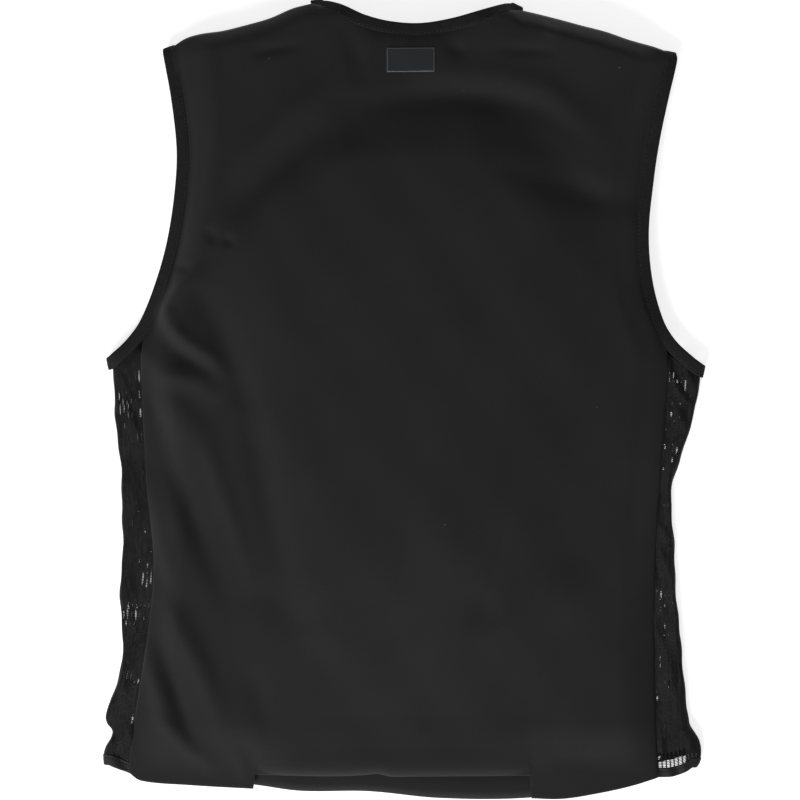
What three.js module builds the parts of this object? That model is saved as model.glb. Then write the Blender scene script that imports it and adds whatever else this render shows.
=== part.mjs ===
// A sleeveless protective vest laid face down: a softshell back with a protector in its pocket, mesh sides
// that fold round to the front, plain front panels on a closed zip, and bound armholes and neck.
// Millimetres. +Z is up from the floor, +Y runs from hem to neck, +X is the wearer's right, and the back
// faces +Z.
import * as THREE from "three";

// Walls, and the gap that two sewn edges keep
const CLOTH = 2;
const LINING = 1.2;
const MESH = 1.2;
const SEAM = 0.4;

// Edge tapes
const BINDING_WIDTH = 10.5;
const BINDING_THICKNESS = 2.4;
const BINDING_GAP = 0.7;
const HEM_TAPE_THICKNESS = 1.8;

// Protector in the back pocket
const PAD_THICKNESS = 14;
const PAD_EDGE_SHARE = 0.35;
const PAD_EDGE_BAND = 0.3;
const PAD_TOP_BAND = 60;
const PAD_FOOT_BAND = 150;
const PAD_MIDDLE_X = 1;
const PAD_EASE = 1;

// Length of the outer cloth's slope from the protector's outline down to the lining, along the back
const PAD_SLOPES = [
  { y: -260, length: 80 },
  { y: -190, length: 70 },
  { y: -120, length: 52 },
  { y: 0, length: 50 },
  { y: 105, length: 52 },
  { y: 200, length: 62 },
  { y: 260, length: 66 },
];

// The laid form: height of the lining at the shoulder fold, length of the roll into that fold, bend of the
// mesh sides
const FOLD_HEIGHT = 4.4;
const ROLL = 12;
const ARCH_POWER = 2.6;
const SIDE_FOLD_RADIUS = 3.4;
const FRONT_SEAM_INSET = 4;
const FRONT_SCOOP = 12;
const LINING_INSET = 3.5;
const LINING_DROP = 15;

// Front zip, from hem to neck, leaning with the laid front
const ZIP = {
  bottomX: -9, bottomY: -310, topX: 6, topY: 225.6, half: 5.5, tape: 1.2, chainHalf: 2.6, chain: 1.8,
};

// Blank label on the nape
const LABEL = { x: 4.5, y: 273.7, width: 39.5, height: 20.5, thickness: 0.8, gap: 0.6 };

// Pocket mouth in the back hem, where the outer cloth stands off the lining
const MOUTH = { left: -122.3, right: 101.8, y: -305, lift: 2.5, reach: 45 };

// The back across the body: its middle line, half width, and the height of the lining at the edges and in
// the middle
const ARCH = [
  { y: -325, mid: -9, half: 217, edge: 5, crown: 13 },
  { y: -250, mid: -8, half: 212, edge: 6, crown: 19 },
  { y: -130, mid: -1, half: 204, edge: 6.5, crown: 25 },
  { y: 30, mid: 0, half: 214, edge: 7, crown: 27 },
  { y: 95, mid: 0, half: 194, edge: 10, crown: 26.5 },
  { y: 190, mid: 9, half: 184, edge: 11.5, crown: 23.5 },
  { y: 290, mid: 15, half: 197, edge: 10, crown: 18 },
  { y: 325, mid: 10, half: 197, edge: 9, crown: 15 },
];

// Half width of the protector along the back
const PAD = [
  { y: -190, half: 38 },
  { y: -182, half: 52 },
  { y: -165, half: 60 },
  { y: -120, half: 69 },
  { y: -60, half: 81 },
  { y: 0, half: 93 },
  { y: 60, half: 106 },
  { y: 105, half: 115 },
  { y: 125, half: 113 },
  { y: 165, half: 92 },
  { y: 192, half: 68 },
  { y: 203, half: 50 },
];

// Soft folds of the outer cloth, as ridges from one point to another
const FOLDS = [
  { fromX: -190, fromY: 82, toX: -152, toY: 27, width: 9, height: 5 },
  { fromX: -163, fromY: -21, toX: -134, toY: -115, width: 11, height: 3 },
  { fromX: -208, fromY: -196, toX: -186, toY: -280, width: 9, height: 4 },
  { fromX: -189, fromY: -172, toX: -147, toY: -265, width: 12, height: 4 },
  { fromX: -49, fromY: 256, toX: -110, toY: 199, width: 12, height: 3.5 },
  { fromX: -122, fromY: 183, toX: -160, toY: 142, width: 12, height: 3 },
  { fromX: 20, fromY: 264, toX: 108, toY: 248, width: 13, height: 3 },
  { fromX: 126, fromY: 238, toX: 160, toY: 200, width: 13, height: 3 },
  { fromX: 94, fromY: 191, toX: 187, toY: 168, width: 11, height: 3 },
  { fromX: 100, fromY: -155, toX: 160, toY: -168, width: 14, height: 2.5 },
];

// Shoulder line, where back and front meet in a fold; over the neck it passes above the neckline
const SHOULDER = [
  { x: -200, y: 283 },
  { x: -188, y: 288.5 },
  { x: -178, y: 294.8 },
  { x: -165, y: 298.4 },
  { x: -149, y: 300.6 },
  { x: -129, y: 305.5 },
  { x: -110, y: 311 },
  { x: -90, y: 320 },
  { x: -80, y: 324.4 },
  { x: -66, y: 325.4 },
  { x: 5, y: 331 },
  { x: 80, y: 325 },
  { x: 87, y: 322.6 },
  { x: 95, y: 317.6 },
  { x: 105, y: 315.2 },
  { x: 124, y: 310.4 },
  { x: 144, y: 305 },
  { x: 164, y: 299.8 },
  { x: 183, y: 293.2 },
  { x: 203, y: 287.6 },
  { x: 214, y: 284 },
  { x: 223, y: 276 },
];

// Seam between back and mesh, from hem to underarm
const SEAMS = {
  left: [
    { y: -303.5, x: -225.5 },
    { y: -260, x: -220 },
    { y: -196, x: -210 },
    { y: -132, x: -204.5 },
    { y: -66, x: -210.5 },
    { y: 20, x: -214.5 },
    { y: 47.5, x: -213.3 },
  ],
  right: [
    { y: -308, x: 206.5 },
    { y: -269, x: 204.5 },
    { y: -222, x: 203 },
    { y: -163, x: 203 },
    { y: -82, x: 206 },
    { y: -33, x: 210 },
    { y: 20, x: 213.3 },
    { y: 38.2, x: 213 },
  ],
};

// Fold of each mesh side, the outline of the laid vest from hem to underarm
const SIDE_FOLDS = {
  left: [
    { y: -300, x: -243.4 },
    { y: -292, x: -245.1 },
    { y: -279, x: -242.4 },
    { y: -261, x: -245 },
    { y: -245, x: -240 },
    { y: -228, x: -233.5 },
    { y: -212, x: -230.5 },
    { y: -163, x: -232 },
    { y: -115, x: -230.5 },
    { y: -66, x: -231.2 },
    { y: -33, x: -234.4 },
    { y: 0, x: -237 },
    { y: 24, x: -238.5 },
  ],
  right: [
    { y: -308, x: 230 },
    { y: -304, x: 234 },
    { y: -300, x: 237.7 },
    { y: -294, x: 241 },
    { y: -284, x: 241.9 },
    { y: -277, x: 240 },
    { y: -272, x: 236.6 },
    { y: -266, x: 232 },
    { y: -260, x: 230.6 },
    { y: -228, x: 228 },
    { y: -180, x: 223 },
    { y: -115, x: 219 },
    { y: -82, x: 217.6 },
    { y: -66, x: 218.6 },
    { y: -49, x: 224 },
    { y: -33, x: 229.5 },
    { y: -17, x: 235 },
    { y: 0, x: 237.8 },
    { y: 16, x: 240.6 },
  ],
};

// Ends of each mesh side: its top at the back seam, the fold and the front seam, and its foot, which rises
// from the seam to the fold by a power, with the height of the tape round it
const SIDE_ENDS = {
  left: { sign: -1, tops: [44, 21, 35.5], seamFoot: -304.2, foldFoot: -296, footPower: 1, tape: 11 },
  right: { sign: 1, tops: [35.5, 14, 26], seamFoot: -308, foldFoot: -300, footPower: 3, tape: 8 },
};

// Foot of the half that lies beneath, from the fold to the front seam
const FRONT_FEET = {
  left: [{ share: 0, y: -296 }, { share: 0.5, y: -294 }, { share: 1, y: -293 }],
  right: [{ share: 0, y: -300 }, { share: 0.1, y: -287.5 }, { share: 1, y: -296.5 }],
};

// Armhole edges on the back from shoulder to underarm, each with the direction that points into the cloth
const ARMHOLES = {
  left: [
    { x: -197, y: 282, inX: 1, inY: 0.35 },
    { x: -190, y: 244, inX: 1, inY: 0.15 },
    { x: -185.5, y: 203, inX: 1, inY: 0 },
    { x: -187, y: 170, inX: 1, inY: -0.1 },
    { x: -193, y: 130, inX: 1, inY: -0.2 },
    { x: -202, y: 97, inX: 1, inY: -0.3 },
    { x: -215, y: 64.5, inX: 0.9, inY: -0.45 },
    { x: -227, y: 48, inX: 0.7, inY: -0.75 },
    { x: -241, y: 35, inX: 0.2, inY: -1 },
  ],
  right: [
    { x: 221.5, y: 276, inX: -1, inY: 0.2 },
    { x: 214, y: 244, inX: -1, inY: 0.2 },
    { x: 207, y: 211, inX: -1, inY: 0.17 },
    { x: 202, y: 178, inX: -1, inY: 0.1 },
    { x: 198, y: 135, inX: -1, inY: 0 },
    { x: 201, y: 97, inX: -1, inY: -0.2 },
    { x: 210, y: 64.5, inX: -0.85, inY: -0.5 },
    { x: 220, y: 48, inX: -0.65, inY: -0.75 },
    { x: 235, y: 34, inX: -0.4, inY: -1 },
    { x: 242.3, y: 28.6, inX: -0.2, inY: -1 },
  ],
};

// Neck edge on the back from the left shoulder fold to the right one, then the two halves on the front
const BACK_NECK = [
  { x: -66, y: 323.8, inX: -1, inY: -0.15 },
  { x: -58, y: 322, inX: -0.55, inY: -0.85 },
  { x: -49, y: 318.8, inX: -0.45, inY: -0.9 },
  { x: -32, y: 311, inX: -0.4, inY: -0.92 },
  { x: -12, y: 306, inX: -0.2, inY: -1 },
  { x: 12, y: 304.4, inX: 0, inY: -1 },
  { x: 37, y: 308, inX: 0.25, inY: -1 },
  { x: 62, y: 314.8, inX: 0.32, inY: -1 },
  { x: 80, y: 320.2, inX: 0.45, inY: -0.9 },
  { x: 86, y: 321.6, inX: 0.9, inY: -0.55 },
];
const FRONT_NECK = {
  left: [
    { x: -65, y: 316, inX: -1, inY: -0.2 },
    { x: -61, y: 294, inX: -1, inY: -0.3 },
    { x: -50, y: 267, inX: -0.85, inY: -0.55 },
    { x: -30, y: 246.5, inX: -0.5, inY: -0.85 },
    { x: 5.6, y: 236.6, inX: 0, inY: -1 },
  ],
  right: [
    { x: 85, y: 314, inX: 1, inY: -0.2 },
    { x: 77, y: 292, inX: 1, inY: -0.3 },
    { x: 63, y: 266, inX: 0.85, inY: -0.55 },
    { x: 42, y: 246.5, inX: 0.5, inY: -0.85 },
    { x: 6.4, y: 236.6, inX: 0, inY: -1 },
  ],
};

// Shoulder edges of the back panel, from each armhole to the neck
const BACK_SHOULDERS = {
  left: [
    [-186.4, 288.4], [-178, 294.2], [-165, 297.8], [-149, 300], [-129, 304.9], [-110, 310.4], [-91, 318.6],
    [-79.5, 321.8],
  ],
  right: [
    [98, 315.6], [106, 314.3], [124, 309.8], [144, 304.4], [164, 299.2], [183, 292.6], [203, 287],
    [211, 284.4],
  ],
};

// Hem of the back panel on each side of the pocket mouth, the mouth's edge, and the lining's hem from seam
// to seam
const HEM = {
  left: [[-225.5, -303.5], [-215, -310.4], [-175, -313.6], [-122.3, -316.2]],
  mouth: [
    [-122.3, -304.4], [-91, -305.2], [-60, -305.6], [-34, -304.6], [-22, -303.6], [-12, -305.8], [4, -305.8],
    [30, -305.6], [60, -305.5], [101.8, -305.4],
  ],
  right: [[101.8, -324], [128, -324.6], [161, -319.6], [185, -314.4], [206.5, -308]],
  lining: [
    [-175, -309], [-122, -314], [-85, -318.8], [-30, -319], [28, -324.6], [100, -324.6], [160, -315.6],
  ],
};

// Front panels: underarm, shoulder and hem of each side, the hem from the side seam to the zip
const FRONTS = {
  left: {
    underarmY: 38,
    tip: [-186.4, 288.4],
    shoulderXs: [-175, -150, -128, -108, -92],
    neckPoint: [-79, 321.4],
    hem: [[-221, -293], [-120, -304], [-14.9, -310]],
  },
  right: {
    underarmY: 28.5,
    tip: [210.6, 284.2],
    shoulderXs: [199, 176, 154, 132, 112],
    neckPoint: [97, 315.4],
    hem: [[202, -296.5], [100, -306], [-3.1, -310]],
  },
};

const COLOURS = {
  softshell: 0x242425,
  lining: 0x1b1b1d,
  mesh: 0x161617,
  binding: 0x1a1a1b,
  foam: 0x3a3a3d,
  label: 0x23262a,
};

// Small functions of one number
const clamp = THREE.MathUtils.clamp;
const lerp = THREE.MathUtils.lerp;
const smooth = (t) => THREE.MathUtils.smoothstep(t, 0, 1);
const evenly = (count) => Array.from({ length: count + 1 }, (_, k) => k / count);

// A smooth curve through a table: the value column at any key, by cubic pieces with the neighbours' slopes
function through(rows, key, value) {
  const last = rows.length - 1;
  const slope = (k) => {
    const before = rows[Math.max(k - 1, 0)];
    const after = rows[Math.min(k + 1, last)];
    return (after[value] - before[value]) / (after[key] - before[key]);
  };
  return (at) => {
    const here = clamp(at, rows[0][key], rows[last][key]);
    let k = 0;
    while (k < last - 1 && rows[k + 1][key] < here) k += 1;
    const span = rows[k + 1][key] - rows[k][key];
    const t = (here - rows[k][key]) / span;
    const rise = rows[k + 1][value] - rows[k][value];
    const bend = slope(k) * span - rise;
    const bendBack = rise - slope(k + 1) * span;
    return rows[k][value] + rise * t + t * (1 - t) * (bend * (1 - t) + bendBack * t);
  };
}

const archMid = through(ARCH, "y", "mid");
const archHalf = through(ARCH, "y", "half");
const archEdge = through(ARCH, "y", "edge");
const archCrown = through(ARCH, "y", "crown");
const padHalf = through(PAD, "y", "half");
const padSlope = through(PAD_SLOPES, "y", "length");
const shoulderY = through(SHOULDER, "x", "y");
const PAD_BOTTOM = PAD[0].y;
const PAD_TOP = PAD[PAD.length - 1].y;

// Heights over the floor. Share of the full height that is left where the cloth rolls into the shoulder fold
function rolled(x, y) {
  const inside = clamp((shoulderY(x) - y) / ROLL, 0, 1);
  return Math.sqrt(1 - (1 - inside) ** 2);
}

function liningUnder(x, y) {
  const across = Math.min(Math.abs(x - archMid(y)) / archHalf(y), 1);
  const arch = archEdge(y) + (archCrown(y) - archEdge(y)) * (1 - across ** ARCH_POWER);
  return FOLD_HEIGHT + (arch - FOLD_HEIGHT) * rolled(x, y);
}

// Thickness of the protector: full inside, less by a square law over a band along its sides and at both ends
function padThickness(y, fromMiddle) {
  const toSide = (Math.abs(fromMiddle) - 1) / PAD_EDGE_BAND + 1;
  const toEnd = Math.max(1 - (y - PAD_BOTTOM) / PAD_FOOT_BAND, 1 - (PAD_TOP - y) / PAD_TOP_BAND);
  const outward = clamp(Math.max(toSide, toEnd), 0, 1);
  return PAD_THICKNESS * (1 - (1 - PAD_EDGE_SHARE) * outward ** 2);
}

// Outline of the protector as short lines, up its right side and down its left
const PAD_OUTLINE = (() => {
  const rows = evenly(32).map((v) => lerp(PAD_BOTTOM, PAD_TOP, v));
  const right = rows.map((y) => new THREE.Vector3(PAD_MIDDLE_X + padHalf(y), y, 0));
  const left = rows.map((y) => new THREE.Vector3(PAD_MIDDLE_X - padHalf(y), y, 0)).reverse();
  const ring = [...right, ...left];
  return ring.map((point, k) => new THREE.Line3(point, ring[(k + 1) % ring.length]));
})();

function distanceTo(line, point) {
  return line.closestPointToPoint(point, true, new THREE.Vector3()).distanceTo(point);
}

// The outer cloth over the protector: its full height there inside its outline, then an even slope to the
// lining
function padRise(x, y) {
  const inside = Math.abs(x - PAD_MIDDLE_X) < padHalf(y) && y > PAD_BOTTOM && y < PAD_TOP;
  const point = new THREE.Vector3(x, y, 0);
  const away = inside ? 0 : Math.min(...PAD_OUTLINE.map((line) => distanceTo(line, point)));
  const top = padThickness(clamp(y, PAD_BOTTOM, PAD_TOP - PAD_TOP_BAND), 0) + PAD_EASE;
  return top * smooth(1 - away / padSlope(y));
}

// A ridge falls off from its line as a bell curve
function foldRise(x, y) {
  const point = new THREE.Vector3(x, y, 0);
  return FOLDS.reduce((sum, f) => {
    const line = new THREE.Line3(new THREE.Vector3(f.fromX, f.fromY, 0), new THREE.Vector3(f.toX, f.toY, 0));
    return sum + f.height * Math.exp(-((distanceTo(line, point) / f.width) ** 2));
  }, 0);
}

function mouthRise(x, y) {
  const middle = (MOUTH.left + MOUTH.right) / 2;
  const across = Math.min(Math.abs(x - middle) / (MOUTH.right - middle), 1);
  const inside = clamp((y - MOUTH.y) / MOUTH.reach, 0, 1);
  return MOUTH.lift * (1 - across ** 4) * (1 - inside) ** 2;
}

const backUnder = (x, y) =>
  liningUnder(x, y) + LINING + SEAM + padRise(x, y) + foldRise(x, y) + mouthRise(x, y);

// The front lies on the floor and lifts only to meet the back in the shoulder fold
const FRONT_LIFT = FOLD_HEIGHT + LINING - CLOTH;
const frontUnder = (x, y) => FRONT_LIFT * (1 - rolled(x, y));

// Closed solids. The faces are turned outwards by the sign of the volume they enclose
function solidGeometry(points, index) {
  const corner = (k) => points[k];
  let volume = 0;
  for (let k = 0; k < index.length; k += 3) {
    const [a, b, c] = [corner(index[k]), corner(index[k + 1]), corner(index[k + 2])];
    volume += a.dot(new THREE.Vector3().crossVectors(b, c));
  }
  const facing = volume > 0 ? index : index.slice().reverse();
  return new THREE.BufferGeometry().setFromPoints(points).setIndex(facing);
}

// A cloth wall: a grid of points on its outer face, the same grid on its inner face, and a rim between them
function wall(columns, rows, outerAt, innerAt) {
  const points = [];
  for (const pointAt of [outerAt, innerAt])
    for (const v of rows) for (const u of columns) points.push(pointAt(u, v));
  const width = columns.length;
  const layer = width * rows.length;
  const index = [];
  const quad = (a, b, c, d) => index.push(a, b, c, a, c, d);
  for (let j = 0; j + 1 < rows.length; j += 1)
    for (let i = 0; i + 1 < width; i += 1) {
      const a = j * width + i;
      quad(a, a + 1, a + width + 1, a + width);
      quad(layer + a, layer + a + width, layer + a + width + 1, layer + a + 1);
    }
  const rim = [];
  for (let i = 0; i + 1 < width; i += 1) rim.push(i);
  for (let j = 0; j + 1 < rows.length; j += 1) rim.push(j * width + width - 1);
  for (let i = width - 1; i > 0; i -= 1) rim.push(layer - width + i);
  for (let j = rows.length - 1; j > 0; j -= 1) rim.push(j * width);
  rim.forEach((a, k) => {
    const b = rim[(k + 1) % rim.length];
    quad(b, a, layer + a, layer + b);
  });
  return solidGeometry(points, index);
}

// A binding: a flat tape carried along stations, from each station's point across into the cloth
function binding(stations, closed) {
  const half = BINDING_THICKNESS / 2;
  const corners = [[0, -half], [BINDING_WIDTH, -half], [BINDING_WIDTH, half], [0, half]];
  const points = stations.flatMap(({ point, across, out }) =>
    corners.map(([a, b]) => point.clone().addScaledVector(across, a).addScaledVector(out, b)));
  const index = [];
  const quad = (a, b, c, d) => index.push(a, b, c, a, c, d);
  const count = stations.length;
  for (let k = 0; k < (closed ? count : count - 1); k += 1)
    for (let m = 0; m < 4; m += 1) {
      const next = (m + 1) % 4;
      const after = ((k + 1) % count) * 4;
      quad(k * 4 + m, k * 4 + next, after + next, after + m);
    }
  if (!closed) {
    const end = (count - 1) * 4;
    quad(3, 2, 1, 0);
    quad(end, end + 1, end + 2, end + 3);
  }
  return solidGeometry(points, index);
}

// Stations of a binding: two for each stretch of its path, with the cloth's direction squared to the path
// in plan, except where the path turns steeply over a fold
const STEEP = 0.6;

function bindingStations(knots, closed) {
  const path = new THREE.CatmullRomCurve3(knots.map((k) => k.point), closed, "centripetal");
  const into = new THREE.CatmullRomCurve3(knots.map((k) => k.into), closed, "centripetal");
  const steps = 2 * (closed ? knots.length : knots.length - 1);
  return evenly(steps).slice(0, closed ? steps : steps + 1).map((t) => {
    const point = path.getPoint(t);
    point.z = Math.max(point.z, BINDING_THICKNESS / 2);
    const along = path.getTangent(t);
    const plan = new THREE.Vector3(along.x, along.y, 0);
    const across = into.getPoint(t);
    if (plan.length() > STEEP) across.projectOnPlane(plan.normalize());
    across.normalize();
    return { point, across, out: new THREE.Vector3().crossVectors(along, across).normalize() };
  });
}

// A knot of a binding's path, at a height, shifted into the cloth by a scoop
function knotAt({ x, y, inX, inY }, heightAt, scoop = 0) {
  const into = new THREE.Vector3(inX, inY, 0).normalize();
  const px = x + into.x * scoop;
  const py = y + into.y * scoop;
  return { point: new THREE.Vector3(px, py, heightAt(px, py)), into };
}

const backMiddle = (x, y) => backUnder(x, y) + CLOTH / 2;
const frontMiddle = (x, y) => frontUnder(x, y) + BINDING_THICKNESS / 2;

// The knot where a binding turns over a fold: a little past the two knots that it joins, half way between
// their heights
function turnBetween(above, below, pastX, pastY) {
  const point = above.point.clone().lerp(below.point, 0.5);
  point.x += pastX;
  point.y += pastY;
  return { point, into: above.into.clone().lerp(below.into, 0.5).normalize() };
}

// Armhole path: down the back, round the underarm tip, up the front, which is cut deeper, and over the
// shoulder
function armholePath(side) {
  const rows = ARMHOLES[side];
  const scoop = (k) => FRONT_SCOOP * Math.sin((Math.PI * k) / (rows.length - 1));
  const back = rows.map((row) => knotAt(row, backMiddle));
  const front = rows.map((row, k) => knotAt(row, frontMiddle, scoop(k))).reverse();
  const underarm = turnBetween(back.at(-1), front[0], SIDE_ENDS[side].sign * 1.4, -0.8);
  const shoulder = turnBetween(front.at(-1), back[0], 0, 2.2);
  return bindingStations([...back, underarm, ...front, shoulder], true);
}

// Neck path: from the zip up the left front, over the shoulder, along the nape and down the right front
function neckPath() {
  const back = BACK_NECK.map((row) => knotAt(row, backMiddle));
  const left = FRONT_NECK.left.map((row) => knotAt(row, frontMiddle));
  const right = FRONT_NECK.right.map((row) => knotAt(row, frontMiddle));
  const turnLeft = turnBetween(back[0], left[0], -0.6, 4);
  const turnRight = turnBetween(back.at(-1), right[0], 0.6, 3.6);
  return bindingStations([...left.reverse(), turnLeft, ...back, turnRight, ...right], false);
}

const ARMHOLE_PATHS = { left: armholePath("left"), right: armholePath("right") };
const NECK_PATH = neckPath();

// The cloth's edge under a binding, for the knots from one to another: the path moved in by the width and a
// gap
function underBinding(stations, fromKnot, toKnot) {
  return stations.slice(2 * fromKnot, 2 * toKnot + 1).map(({ point, across }) => {
    const moved = point.clone().addScaledVector(across, BINDING_WIDTH + BINDING_GAP);
    return [moved.x, moved.y];
  });
}

// One edge of a panel: stretches of smooth line end to end, each taking its share of the edge's parameter
function edgeOf(stretches) {
  const lines = stretches.map(({ points, share }) => ({
    curve: new THREE.SplineCurve(points.map(([x, y]) => new THREE.Vector2(x, y))),
    share,
  }));
  return (t) => {
    let start = 0;
    for (const { curve, share } of lines.slice(0, -1)) {
      if (t < start + share - 1e-6) return curve.getPointAt(clamp((t - start) / share, 0, 1));
      start += share;
    }
    const { curve, share } = lines[lines.length - 1];
    return curve.getPointAt(clamp((t - start) / share, 0, 1));
  };
}

// A panel's plan: the surface that blends its four edges into one another
function planOf({ bottom, top, left, right }) {
  const corners = { bl: bottom(0), br: bottom(1), tl: top(0), tr: top(1) };
  return (u, v) =>
    new THREE.Vector2()
      .addScaledVector(bottom(u), 1 - v)
      .addScaledVector(top(u), v)
      .addScaledVector(left(v), 1 - u)
      .addScaledVector(right(v), u)
      .addScaledVector(corners.bl, -(1 - u) * (1 - v))
      .addScaledVector(corners.br, -u * (1 - v))
      .addScaledVector(corners.tl, -(1 - u) * v)
      .addScaledVector(corners.tr, -u * v);
}

// A panel lying at a height, with a thickness
function panel(plan, columns, rows, under, thickness) {
  const at = (raise) => (u, v) => {
    const { x, y } = plan(u, v);
    return new THREE.Vector3(x, y, under(x, y) + raise);
  };
  return wall(columns, rows, at(thickness), at(0));
}

// Back panel. Its columns and rows fall on the ends of the stretches, so that every corner is a point of
// the grid, and two more rows follow the roll into the shoulder
const BACK_COLUMNS = 28;
const BACK_ROWS = 34;
const SEAM_SHARE = 20 / BACK_ROWS;
const UNDERARM_KNOT = 6;
const ROLL_ROWS = [0.12, 0.45].map((step) => 1 - step / BACK_ROWS);

function backSide(side, shoulderEnd) {
  const seam = SEAMS[side].map(({ x, y }) => [x, y]);
  const armhole = underBinding(ARMHOLE_PATHS[side], 0.5, UNDERARM_KNOT).reverse();
  return edgeOf([
    { points: seam, share: SEAM_SHARE },
    { points: [seam.at(-1), ...armhole, shoulderEnd], share: 1 - SEAM_SHARE },
  ]);
}

const backLeft = backSide("left", BACK_SHOULDERS.left[0]);
const backRight = backSide("right", BACK_SHOULDERS.right.at(-1));
const NECK_LEFT = FRONT_NECK.left.length + 1;
const neckUnder = underBinding(NECK_PATH, NECK_LEFT + 0.5, NECK_LEFT + BACK_NECK.length - 1.5);
const backTop = edgeOf([
  { points: BACK_SHOULDERS.left, share: 7 / BACK_COLUMNS },
  { points: [BACK_SHOULDERS.left.at(-1), ...neckUnder, BACK_SHOULDERS.right[0]], share: 14 / BACK_COLUMNS },
  { points: BACK_SHOULDERS.right, share: 7 / BACK_COLUMNS },
]);
const backBottom = edgeOf([
  { points: HEM.left, share: 6 / BACK_COLUMNS },
  { points: [HEM.left.at(-1), HEM.mouth[0]], share: 1 / BACK_COLUMNS },
  { points: HEM.mouth, share: 14 / BACK_COLUMNS },
  { points: [HEM.mouth.at(-1), HEM.right[0]], share: 1 / BACK_COLUMNS },
  { points: HEM.right, share: 6 / BACK_COLUMNS },
]);

function backPanel() {
  const plan = planOf({ bottom: backBottom, top: backTop, left: backLeft, right: backRight });
  const rows = [...evenly(BACK_ROWS), ...ROLL_ROWS].sort((a, b) => a - b);
  return panel(plan, evenly(BACK_COLUMNS), rows, backUnder, CLOTH);
}

// Lining behind the pocket: the back panel's plan drawn in at the sides and below the shoulder roll, with a
// hem of its own below the mouth
function backLining() {
  const drawnIn = (edge, inward) => (t) => edge(t).add(new THREE.Vector2(inward, -LINING_DROP * t));
  const left = drawnIn(backLeft, LINING_INSET);
  const right = drawnIn(backRight, -LINING_INSET);
  const top = (t) => backTop(t).add(new THREE.Vector2(lerp(LINING_INSET, -LINING_INSET, t), -LINING_DROP));
  const bottom = edgeOf([{ points: [left(0).toArray(), ...HEM.lining, right(0).toArray()], share: 1 }]);
  return panel(planOf({ bottom, top, left, right }), evenly(20), evenly(20), liningUnder, LINING);
}

// Protector: a shield that lies on the lining, thinner towards its edge
function backPad() {
  const place = (u, v) => {
    const y = lerp(PAD_BOTTOM, PAD_TOP, v);
    return { x: PAD_MIDDLE_X + padHalf(y) * (2 * u - 1), y };
  };
  const under = ({ x, y }) => liningUnder(x, y) + LINING + SEAM;
  const at = (share) => (u, v) => {
    const here = place(u, v);
    return new THREE.Vector3(here.x, here.y, under(here) + share * padThickness(here.y, 2 * u - 1));
  };
  return wall(evenly(12), evenly(16), at(1), at(0));
}

// Mesh side in section: from the back seam out to the fold, round it, and along the floor to the front
// seam. A step names its run and its share of that run.
function sideProfile(side, thickness) {
  const { sign } = SIDE_ENDS[side];
  const seamX = through(SEAMS[side], "y", "x");
  const foldX = through(SIDE_FOLDS[side], "y", "x");
  const low = thickness / 2;
  return ({ run, share }, y) => {
    const bendX = foldX(y) - sign * (SIDE_FOLD_RADIUS + low);
    const backX = seamX(y) + sign * SEAM;
    const frontX = seamX(y) - sign * (FRONT_SEAM_INSET - SEAM);
    const top = low + 2 * SIDE_FOLD_RADIUS;
    if (run === "back") {
      const seamHeight = backUnder(backX, y) + CLOTH / 2;
      return new THREE.Vector2(lerp(backX, bendX, share), lerp(seamHeight, top, smooth(share)));
    }
    if (run === "front") return new THREE.Vector2(lerp(bendX, frontX, share), low);
    const turn = Math.PI * (0.5 - share);
    return new THREE.Vector2(
      bendX + sign * SIDE_FOLD_RADIUS * Math.cos(turn),
      low + SIDE_FOLD_RADIUS * (1 + Math.sin(turn)),
    );
  };
}

// Steps round the section, each with how far out it lies between the seams and the fold
const SIDE_STEPS = [
  ...[0, 0.33, 0.67].map((share) => ({ run: "back", share, out: share })),
  ...[0, 0.25, 0.5, 0.75, 1].map((share) => ({ run: "bend", share, out: 1 })),
  ...[0.1, 0.5, 1].map((share) => ({ run: "front", share, out: 1 - share })),
];

function sideStrip(side, thickness, rowCount, bottomOf, topOf) {
  const { sign } = SIDE_ENDS[side];
  const profile = sideProfile(side, thickness);
  const columns = SIDE_STEPS.map((_, k) => k);
  const at = (offset) => (k, v) => {
    const step = SIDE_STEPS[k];
    const y = lerp(bottomOf(step), topOf(step), v);
    const before = profile(SIDE_STEPS[Math.max(k - 1, 0)], y);
    const after = profile(SIDE_STEPS[Math.min(k + 1, columns.length - 1)], y);
    const along = after.sub(before).normalize();
    const here = profile(step, y);
    const out = new THREE.Vector2(-along.y, along.x).multiplyScalar(sign);
    return new THREE.Vector3(here.x + out.x * offset, y, Math.max(here.y + out.y * offset, 0));
  };
  return wall(columns, evenly(rowCount), at(thickness / 2), at(-thickness / 2));
}

function sideFoot(side) {
  const { seamFoot, foldFoot, footPower } = SIDE_ENDS[side];
  const frontFoot = through(FRONT_FEET[side], "share", "y");
  const backFoot = (out) => lerp(seamFoot, foldFoot, out ** footPower);
  return ({ run, share, out }) => (run === "front" ? frontFoot(share) : backFoot(out));
}

function sidePanel(side) {
  const { tops, tape } = SIDE_ENDS[side];
  const [seamTop, foldTop, frontTop] = tops;
  const footOf = sideFoot(side);
  const topOf = ({ run, out }) => lerp(run === "front" ? frontTop : seamTop, foldTop, out);
  return sideStrip(side, MESH, 22, (step) => footOf(step) + tape + SEAM, topOf);
}

function hemTape(side) {
  const { tape } = SIDE_ENDS[side];
  const footOf = sideFoot(side);
  return sideStrip(side, HEM_TAPE_THICKNESS, 2, footOf, (step) => footOf(step) + tape);
}

// Front panel: plain cloth from the side seam to the zip, under the front halves of the bindings
const NECK_RIGHT = NECK_LEFT + BACK_NECK.length + 1;
const zipX = (y) => lerp(ZIP.bottomX, ZIP.topX, (y - ZIP.bottomY) / (ZIP.topY - ZIP.bottomY));

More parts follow.
